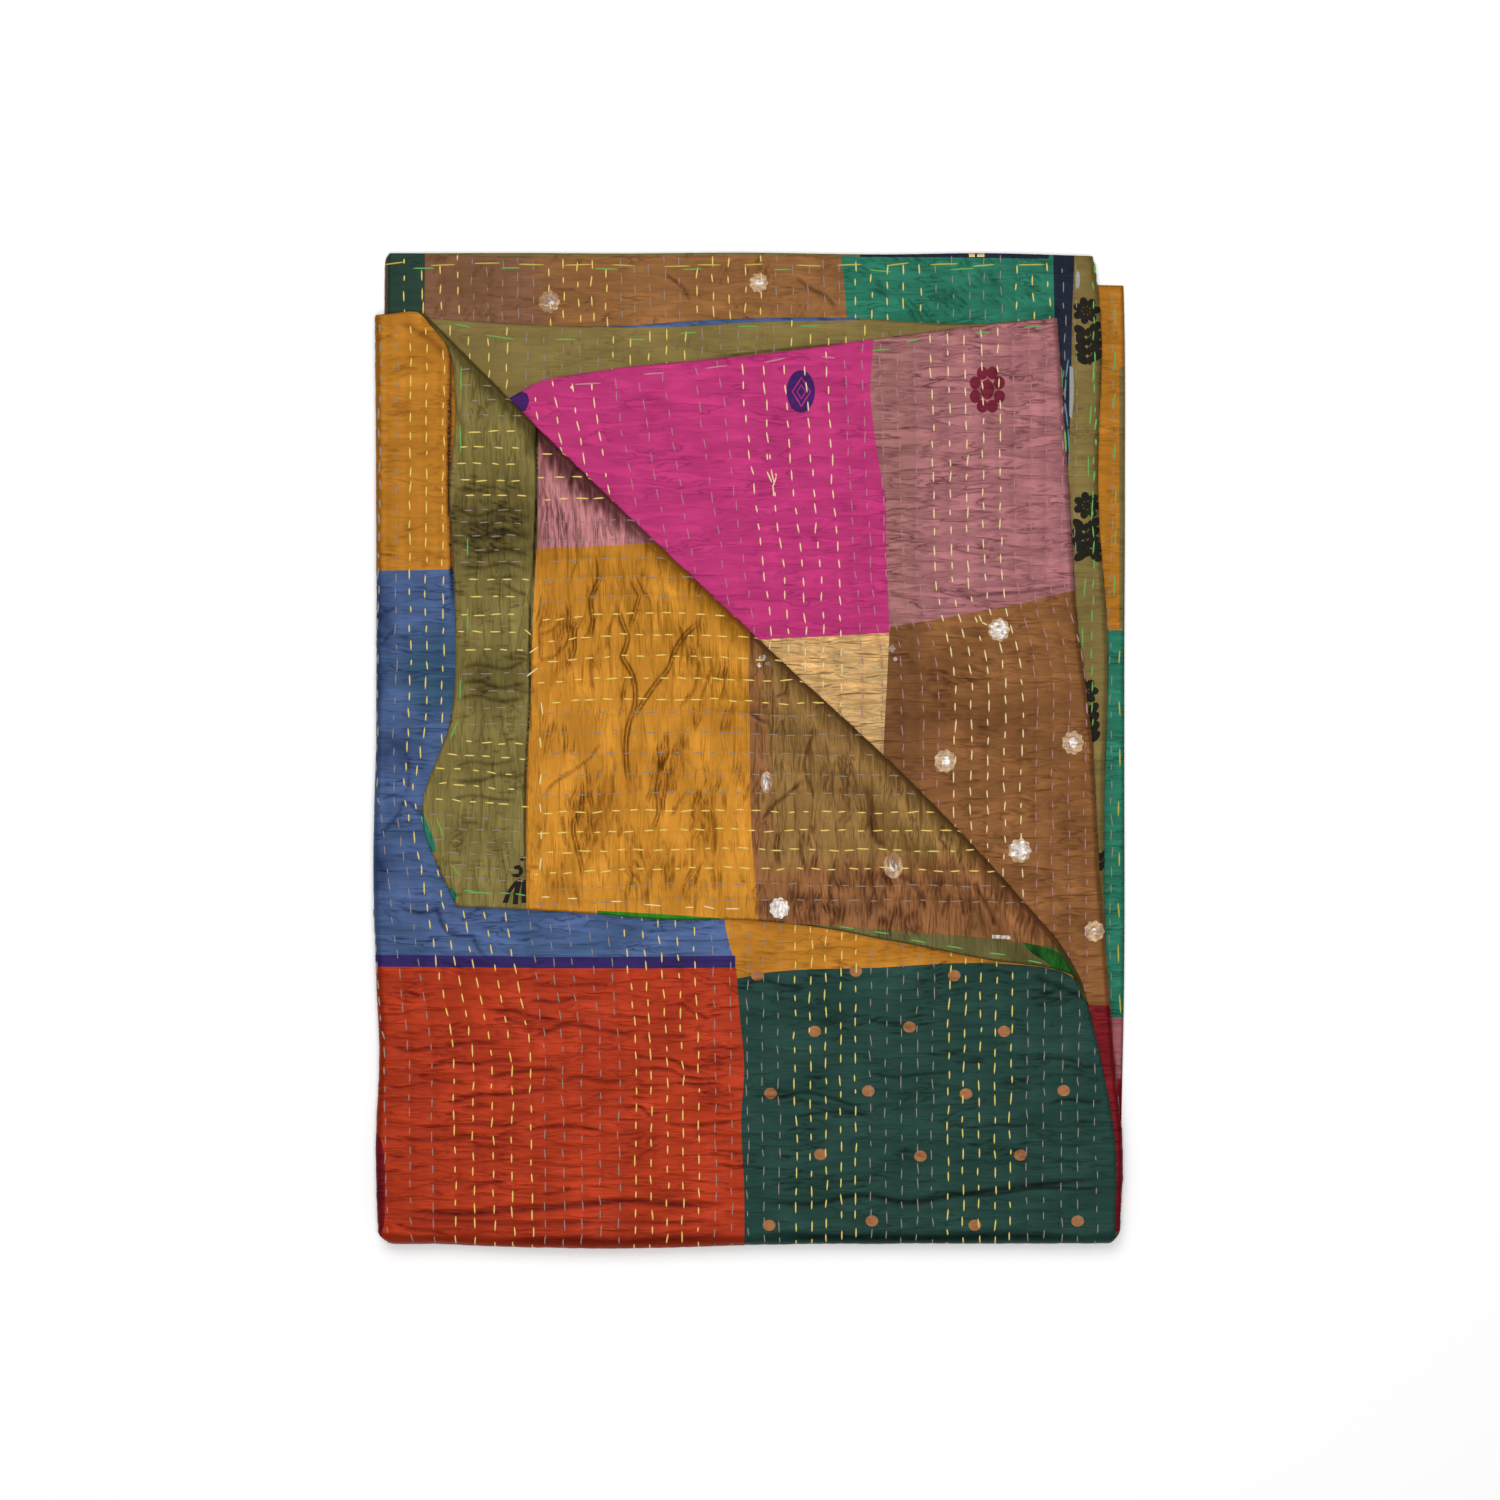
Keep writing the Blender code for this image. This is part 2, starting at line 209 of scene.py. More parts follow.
def diagonal(x, y):
    """How far along the diagonal a point is, and how far past it towards the turned corner."""
    line = TURN_END - TURN_START
    dx, dy = x - TURN_START.x, y - TURN_START.y
    return (dx * line.x + dy * line.y) / line.length, (dy * line.x - dx * line.y) / line.length


def off_diagonal(along, past):
    """The point that is so far along the diagonal and so far past it."""
    line = (TURN_END - TURN_START).normalized()
    x = TURN_START.x + along * line.x - past * line.y
    return x, TURN_START.y + along * line.y + past * line.x


def crease(along):
    """Where the cloth starts to roll, the roll's radius and settling length, and how far it slides."""
    share = along / (TURN_END - TURN_START).length
    outer = smooth(TURN, "radius", share)
    radius = TIGHT * outer
    start = smooth(TURN, "bow", share) - radius - CLOTH / 2
    return start, radius, smooth(TURN, "settle", share), (math.pi - 2) * (outer - radius)


def swell(along, run):
    """How far the turned corner stands up behind its roll, above an even settling."""
    from_end = np.minimum(along, (TURN_END - TURN_START).length - along)
    there = np.clip(from_end / SWELL_ENDS, 0.0, 1.0)
    reach = run / SWELL_REACH
    return SWELL * there * there * (3 - 2 * there) * reach * np.exp(1 - reach)


def turn_back(x, y, z):
    """The top layer with its corner rolled up and over the diagonal, and settled on the front."""
    along, past = diagonal(x, y)
    start, radius, settle, slide = crease(along)
    turned = past - start
    angle = np.clip(turned / radius, 0.0, math.pi)
    run = np.maximum(turned - math.pi * radius, 0.0)
    ease = 0.5 - 0.5 * np.cos(math.pi * np.clip(run / settle, 0.0, 1.0))
    lift = radius * (1 - np.cos(angle)) - (2 * radius - PITCH) * ease + swell(along, run)
    new_x, new_y = off_diagonal(along, start + radius * np.sin(angle) - run + slide * ease)
    over = turned > 0
    return np.where(over, new_x, x), np.where(over, new_y, y), np.where(over, z + lift, z)


def fold_cloth(strip, run):
    """The place in space of each strip and run coordinate, an array of points."""
    line = fold_line(strip)
    angle = math.pi * np.clip(run - 1, 0.0, 1.0)
    upper_y = line + (hem(strip, under=False) - line) * np.clip(1 - run, -0.1, None)
    lower_y = line + (hem(strip, under=True) - line) * np.clip(run - 2, -0.1, None)
    upper_y, lower_y = np.maximum(upper_y, line), np.maximum(lower_y, line)
    swing = 0.5 - 0.5 * np.cos(angle)
    edges = [
        above + (below - above) * swing
        for above, below in zip(edges_at(UPPER_EDGES, upper_y), edges_at(LOWER_EDGES, lower_y))
    ]
    rounding = np.sin(angle) ** 2
    edges[0] = edges[0] + LEFT_CORNER * rounding
    edges[1] = edges[1] - RIGHT_CORNER * rounding
    edges[2] = edges[2] - RIGHT_CORNER * rounding
    x = across(strip, edges)
    y = np.where(run < 1, upper_y, lower_y) - rank(strip) * np.sin(angle)
    z = FOLD_HEIGHT + rank(strip) * np.cos(angle)
    on_top = (strip < 1) & (run < 1)
    turned = turn_back(x, y, z)
    return np.stack([np.where(on_top, new, old) for new, old in zip(turned, (x, y, z))], axis=-1)


def normals(strip, run):
    """The cloth's unit normals, from its slope in both directions."""
    over_strip = fold_cloth(strip + NUDGE, run) - fold_cloth(strip - NUDGE, run)
    over_run = fold_cloth(strip, run + NUDGE) - fold_cloth(strip, run - NUDGE)
    normal = np.cross(over_strip, over_run)
    return normal / np.linalg.norm(normal, axis=1)[:, None]


# ---------------------------------------------------------------- noise
def noise(x, y, seed):
    """Smooth noise from -1 to 1 over the plane, with features about one unit across."""
    xi, yi = np.floor(x).astype(np.int64), np.floor(y).astype(np.int64)
    fx, fy = x - xi, y - yi

    def corner(dx, dy):
        """What the random slope at one corner of the cell gives."""
        mixed = ((xi + dx) * 374761393 + (yi + dy) * 668265263 + seed * 974634777) & 0xFFFFFFFF
        mixed = ((mixed ^ (mixed >> 13)) * 1274126177) & 0xFFFFFFFF
        turn = (mixed ^ (mixed >> 16)) * (2 * math.pi / 2**32)
        return np.cos(turn) * (fx - dx) + np.sin(turn) * (fy - dy)

    u, v = fx * fx * fx * (fx * (fx * 6 - 15) + 10), fy * fy * fy * (fy * (fy * 6 - 15) + 10)
    low = corner(0, 0) * (1 - u) + corner(1, 0) * u
    high = corner(0, 1) * (1 - u) + corner(1, 1) * u
    return 1.5 * (low * (1 - v) + high * v)


# ---------------------------------------------------------------- the faces of the folded cloth
def front_edges(q):
    """The top layer's left centre line and right hem at each length along it, fold included."""
    line = fold_line(np.full_like(q, 0.5))
    arc = math.pi * TOP_RANK
    angle = math.pi * np.clip((line - q) / arc, 0.0, 1.0)
    swing = 0.5 - 0.5 * np.cos(angle)
    upper_y, lower_y = np.maximum(q, line), np.maximum(2 * line - arc - q, line)
    above, below = edges_at(UPPER_EDGES, upper_y), edges_at(LOWER_EDGES, lower_y)
    rounding = np.sin(angle) ** 2
    left = above[0] + (below[0] - above[0]) * swing + LEFT_CORNER * rounding
    right_hem = above[2] + (below[2] - above[2]) * swing - RIGHT_CORNER * rounding
    return left, right_hem


def front_place(p, q):
    """The top layer's outer side: X across, wrapped round the left fold, and the length along."""
    left, right_hem = front_edges(q)
    arc = math.pi * TOP_RANK
    on_panel = (p - right_hem) / (left - right_hem)
    strip = np.where(p >= left, on_panel, 1 + (left - p) / (math.pi * LEFT_RADIUS))
    strip = np.clip(strip, 0.0, 1.95)
    line = fold_line(strip)
    end, under_end = hem(strip, under=False), hem(strip, under=True)
    run = np.where(
        q >= line,
        (end - q) / (end - line),
        np.where(q >= line - arc, 1 + (line - q) / arc, 2 + (line - arc - q) / (under_end - line)),
    )
    return strip, np.clip(run, 0.0, 3.0)


def flap_place(p, q):
    """The turned corner's outer side, by the X and Y where it lies on the front."""
    along, past = diagonal(p, q)
    start, radius, _, slide = crease(along)
    x, y = off_diagonal(along, start + math.pi * radius + start + slide - past)
    left, _, right_hem, _ = edges_at(UPPER_EDGES, y)
    strip = np.clip((x - right_hem) / (left - right_hem), 0.0, 0.999)
    line, end = fold_line(strip), hem(strip, under=False)
    return strip, np.clip((end - y) / (end - line), 0.0, 0.999)


def inner_place(p, q):
    """The inner layer's outer side, wrapped round the right fold."""
    _, right, _, free = edges_at(UPPER_EDGES, q)
    strip = np.where(
        p <= right, 4 + (right - p) / (right - free), 4 - (p - right) / (math.pi * RIGHT_RADIUS)
    )
    strip = np.clip(strip, 3.05, 5.0)
    line, end = fold_line(strip), hem(strip, under=False)
    return strip, np.clip((end - q) / (end - line), 0.0, 1.0)


def middle_place(p, q):
    """The middle layer's upper side."""
    left, right, _, _ = edges_at(UPPER_EDGES, q)
    strip = np.clip(2 + (p - left) / (right - left), 2.0, 3.0)
    line, end = fold_line(strip), hem(strip, under=False)
    return strip, np.clip((end - q) / (end - line), 0.0, 1.0)


def under_place(p, q):
    """The layer below the fold, its upper side, wrapped round both of its side folds."""
    left, right, _, _ = edges_at(LOWER_EDGES, q)
    strip = 2 + (p - left) / (right - left)
    strip = np.where(p < left, 2 - (left - p) / (math.pi * LEFT_RADIUS), strip)
    strip = np.where(p > right, 3 + (p - right) / (math.pi * RIGHT_RADIUS), strip)
    strip = np.clip(strip, 1.05, 3.95)
    line, end = fold_line(strip), hem(strip, under=True)
    return strip, np.clip(2 + (q - line) / (end - line), 2.0, 3.0)


def lowest_place(p, q):
    """The lowest layer's upper side."""
    left, _, right_hem, _ = edges_at(LOWER_EDGES, q)
    strip = np.clip((p - right_hem) / (left - right_hem), 0.0, 1.0)
    line, end = fold_line(strip), hem(strip, under=True)
    return strip, np.clip(2 + (q - line) / (end - line), 2.0, 3.0)


# ---------------------------------------------------------------- flat coordinates of each face
def front_spread(strip, run):
    """Flat coordinates on the front face of strip and run coordinates."""
    line, arc = fold_line(strip), math.pi * TOP_RANK
    end, under_end = hem(strip, under=False), hem(strip, under=True)
    q = np.where(
        run < 1,
        line + (end - line) * (1 - run),
        np.where(run < 2, line - arc * (run - 1), line - arc - (under_end - line) * (run - 2)),
    )
    left, right_hem = front_edges(q)
    on_panel = right_hem + (left - right_hem) * strip
    return np.where(strip < 1, on_panel, left - math.pi * LEFT_RADIUS * (strip - 1)), q


def flap_spread(strip, run):
    """Flat coordinates on the flap face of strip and run coordinates."""
    line = fold_line(strip)
    y = line + (hem(strip, under=False) - line) * (1 - run)
    left, _, right_hem, _ = edges_at(UPPER_EDGES, y)
    along, past = diagonal(right_hem + (left - right_hem) * strip, y)
    start, radius, _, slide = crease(along)
    return off_diagonal(along, start + math.pi * radius + start + slide - past)


def inner_spread(strip, run):
    """Flat coordinates on the inner face of strip and run coordinates."""
    line = fold_line(strip)
    q = line + (hem(strip, under=False) - line) * (1 - run)
    _, right, _, free = edges_at(UPPER_EDGES, q)
    on_panel = right + (free - right) * (strip - 4)
    return np.where(strip > 4, on_panel, right + math.pi * RIGHT_RADIUS * (4 - strip)), q


def middle_spread(strip, run):
    """Flat coordinates on the middle face of strip and run coordinates."""
    line = fold_line(strip)
    q = line + (hem(strip, under=False) - line) * (1 - run)
    left, right, _, _ = edges_at(UPPER_EDGES, q)
    return left + (right - left) * (strip - 2), q


def under_spread(strip, run):
    """Flat coordinates on the under face of strip and run coordinates."""
    line = fold_line(strip)
    q = line + (hem(strip, under=True) - line) * (run - 2)
    left, right, _, _ = edges_at(LOWER_EDGES, q)
    p = left + (right - left) * (strip - 2)
    p = np.where(strip < 2, left - math.pi * LEFT_RADIUS * (2 - strip), p)
    return np.where(strip > 3, right + math.pi * RIGHT_RADIUS * (strip - 3), p), q


def lowest_spread(strip, run):
    """Flat coordinates on the lowest face of strip and run coordinates."""
    line = fold_line(strip)
    q = line + (hem(strip, under=True) - line) * (run - 2)
    left, _, right_hem, _ = edges_at(LOWER_EDGES, q)
    return right_hem + (left - right_hem) * strip, q


# ---------------------------------------------------------------- which parts of a face show
PAST_ROLL = 0.0020  # how far past the start of the roll the front's patches go
# How far a lower layer's patches go on under what hides them: in general, then at the sides
UNDERLAP, RIGHT_UNDERLAP, LEFT_UNDERLAP, LOWEST_UNDERLAP = 0.014, 0.012, 0.004, 0.010

def roll_start(p, q):
    """How far past the start of the roll a point of the front lies, in metres."""
    along, past = diagonal(p, q)
    return past - crease(along)[0]


def front_shows(p, q):
    """Up to the roll, and all that is wrapped round the bottom fold."""
    return (roll_start(p, q) < PAST_ROLL) | (q < FOLD_LINE)


def flap_shows(p, q):
    """On from the roll."""
    along, past = diagonal(p, q)
    start, radius, _, slide = crease(along)
    return past < start + math.pi * radius + slide


def inner_shows(p, q):
    """Past the roll, and beside the top layer's hem."""
    right_hem = edges_at(UPPER_EDGES, q)[2]
    return (roll_start(p, q) > -UNDERLAP) | (p > right_hem - UNDERLAP)


def middle_shows(p, q):
    """Past the roll, where the inner layer doesn't reach."""
    _, right, _, free = edges_at(UPPER_EDGES, q)
    inner_hem = hem(np.clip(4 + (right - p) / (right - free), 4.0, 5.0), under=False)
    return (roll_start(p, q) > -UNDERLAP) & ((q > inner_hem - UNDERLAP) | (p < free + UNDERLAP))


def under_shows(p, q):
    """Above the middle layer's hem, and beside both of its folds."""
    left, right, _, _ = edges_at(UPPER_EDGES, q)
    middle_hem = hem(np.clip(2 + (p - left) / (right - left), 2.0, 3.0), under=False)
    fold = edges_at(LOWER_EDGES, q)[0]
    return (q > middle_hem - UNDERLAP) | (p > right - RIGHT_UNDERLAP) | (p < fold + LEFT_UNDERLAP)


def lowest_shows(p, q):
    """Beside the right fold above it."""
    return p > edges_at(LOWER_EDGES, q)[1] - LOWEST_UNDERLAP


Face = namedtuple("Face", "name place spread shows side strips runs zones rows seed")
Band = namedtuple("Band", "thread first pitch count")

# The rows of running stitches, mostly in fives of each thread: the first row's place and the pitch, in
# millimetres across the rows, and how many rows
FRONT_BANDS = (
    Band("grey", -247, 16.0, 3),
    Band("yellow", -200, 13.2, 5),
    Band("grey", -138, 12.6, 5),
    Band("yellow", -76.5, 10.5, 5),
    Band("grey", -23, 10.7, 5),
    Band("yellow", 31, 10.2, 5),
    Band("grey", 82, 10.6, 5),
    Band("yellow", 135, 10.7, 5),
    Band("grey", 189, 11.6, 5),
)
FLAP_BANDS = (
    Band("grey", -103, 10.5, 2),
    Band("yellow", -81.5, 13.3, 4),
    Band("grey", -30, 13.8, 5),
    Band("yellow", 34, 14.8, 5),
    Band("grey", 105, 12.8, 5),
    Band("yellow", 171, 15.5, 4),
    Band("grey", 232, 10.0, 4),
)
FLAP_BORDER_BANDS = (
    Band("green", -96, 8.0, 1),
    Band("grey", -87, 8.2, 6),
    Band("yellow", -36, 10.3, 5),
    Band("grey", 17, 11.5, 4),
    Band("yellow", 67.3, 12.2, 5),
    Band("grey", 127.8, 9.1, 5),
    Band("yellow", 173.6, 11.0, 5),
    Band("grey", 228, 10.5, 4),
)
INNER_BANDS = (
    Band("yellow", -147.5, 13.4, 4),
    Band("grey", -91, 16.8, 3),
    Band("grey", -36, 16.2, 2),
    Band("yellow", -5, 14.3, 5),
    Band("grey", 64.7, 11.7, 5),
    Band("yellow", 123.2, 11.4, 5),
    Band("grey", 179, 11.0, 4),
)
MIDDLE_BANDS = (
    Band("yellow", -218, 12.8, 5),
    Band("grey", -154, 12.2, 5),
    Band("yellow", -95, 12.4, 5),
    Band("grey", -33, 12.4, 5),
    Band("yellow", 29, 12.4, 5),
    Band("grey", 91, 12.4, 5),
    Band("yellow", 153, 12.4, 5),
)
UNDER_BANDS = (
    Band("yellow", -249, 12.5, 5),
    Band("grey", -189.3, 10.4, 5),
    Band("yellow", -136, 9.8, 5),
    Band("grey", -87.3, 10.0, 5),
    Band("yellow", -35.7, 10.8, 5),
    Band("grey", 18, 10.5, 5),
    Band("yellow", 71, 11.0, 5),
    Band("grey", 127, 11.0, 5),
    Band("yellow", 182, 11.0, 3),
    Band("grey", 214, 8.0, 2),
    Band("light_green", 234, 5.0, 1),
)
LOWEST_BANDS = (Band("grey", 226, 10.0, 1), Band("grey", 247, 5.0, 1))


ENDLESS = 9999  # millimetres, past both ends of every face
BORDER_SEAM = -148  # where the turned corner's border is sewn on


def whole(bands):
    """The rows of a face that all run from one end of it to the other."""
    return ((-ENDLESS, ENDLESS, bands),)


# The turned corner's border has rows of its own, which end at its seam
FLAP_ZONES = ((-ENDLESS, BORDER_SEAM, FLAP_BORDER_BANDS), (BORDER_SEAM, ENDLESS, FLAP_BANDS))

FRONT = Face("front", front_place, front_spread, front_shows, 1, (0, 1.9), (0, 3), whole(FRONT_BANDS),
    "q", 11)
FLAP = Face("flap", flap_place, flap_spread, flap_shows, -1, (0, 0.999), (0, 0.999), FLAP_ZONES, "p", 23)
INNER = Face("inner", inner_place, inner_spread, inner_shows, 1, (3.1, 5), (0, 1), whole(INNER_BANDS),
    "q", 37)
MIDDLE = Face("middle", middle_place, middle_spread, middle_shows, -1, (2, 3), (0, 1), whole(MIDDLE_BANDS),
    "q", 41)
UNDER = Face("under", under_place, under_spread, under_shows, 1, (1.9, 3.9), (2, 3), whole(UNDER_BANDS),
    "q", 53)
LOWEST = Face("lowest", lowest_place, lowest_spread, lowest_shows, -1, (0, 1), (2, 3), whole(LOWEST_BANDS),
    "q", 67)


def rows_of(bands):
    """Middle of each row in metres, and its thread, in order."""
    rows = [(band.first + band.pitch * k, band.thread) for band in bands for k in range(band.count)]
    rows.sort()
    return np.array([at for at, _ in rows]) * MM, [thread for _, thread in rows]


# ---------------------------------------------------------------- puckers
CORE_HALF = 0.0004  # half the thickness of the cloth's core, under the silk
PATCH_HALF = 0.0011  # from the cloth's middle to the silk's surface
DEEPEST = -0.0006  # how far the silk can sink below its flat lie
ROW_DIP = 0.00018  # how far a row of stitches draws the silk in
UNDERSIDE = FOLD_LINE - 0.018  # lengths along the front below this lie under the quilt
PRESSED, PRESSED_IN = 0.35, 0.00045  # what weight leaves of the puckers there, and how far in they go


def row_frame(face, p, q):
    """Coordinates along and across the stitch rows."""
    return (q, p) if face.rows == "q" else (p, q)


def between(value, *pairs):
    """A value read off straight lines through pairs of numbers, all in millimetres."""
    at, to = zip(*pairs)
    return np.interp(value / MM, at, to)


def stray(face, along, over):
    """How far a face's rows run off to one side, in metres."""
    if face.name == "front":  # to the left, higher up, and gathered beside the turned corner
        reach = between(over, (-260, 14), (-216, 25), (-200, 31.3), (-187, 33), (-173, 34.5), (-147, 32),
                        (-138, 21), (-76, 16), (-22, 6), (0, 0))
        share = between(along, (-216, 0), (-192, 0.10), (-153, 0.37), (-107, 0.67), (-31, 1.1), (30, 1.05),
            (60, 1.0))
        pinch = 8 * np.exp(-(((along + 0.031) / 0.022) ** 2) - ((over + 0.186) / 0.012) ** 2)
        return -(reach * share + pinch) * MM
    if face.name == "inner":  # to the right, lower down
        lean = between(over, (-100, 0.175), (-45, 0.15), (10, 0.10), (60, 0.05), (120, 0.01))
        turn = between(over, (50, 0), (100, 1.0)) * between(along, (45, 15), (70, 11), (95, 4), (120, 0))
        return lean * (0.250 - np.maximum(along, 0.080)) + turn * MM
    if face.name == "flap":  # down towards the seam of the border, and down across the border's foot
        near_seam = between(along, (-148.1, 0), (-148, 7), (-125, 4), (-105, 1.5), (-80, 0))
        share = between(over, (20, 0.1), (35, 0.3), (75, 1), (100, 0.9), (120, 0.5), (150, 0))
        foot = between(along, (-205, 3.5), (-148, -2.5), (-147.9, 0)) * between(over, (-100, 0.4),
            (-20, 1), (20, 0))
        return (foot - near_seam * share) * MM
    return np.zeros_like(over)


def sway(face, along, over):
    """How far the rows stray sideways, by hand sewing."""
    slow = 0.0024 * noise(along / 0.16, over / 0.22, face.seed + 7)
    return stray(face, along, over) + slow + 0.0009 * noise(along / 0.035, over / 0.012, face.seed + 8)


def row_share(face, p, q):
    """Where a point lies among the rows: whole numbers are on a row."""
    along, over = row_frame(face, p, q)
    level = over - sway(face, along, over)
    share = np.zeros_like(p)
    for start, end, bands in face.zones:
        middles, _ = rows_of(bands)
        there = (along >= start * MM) & (along < end * MM)
        share[there] = np.interp(level[there], middles, np.arange(len(middles)))
    return share


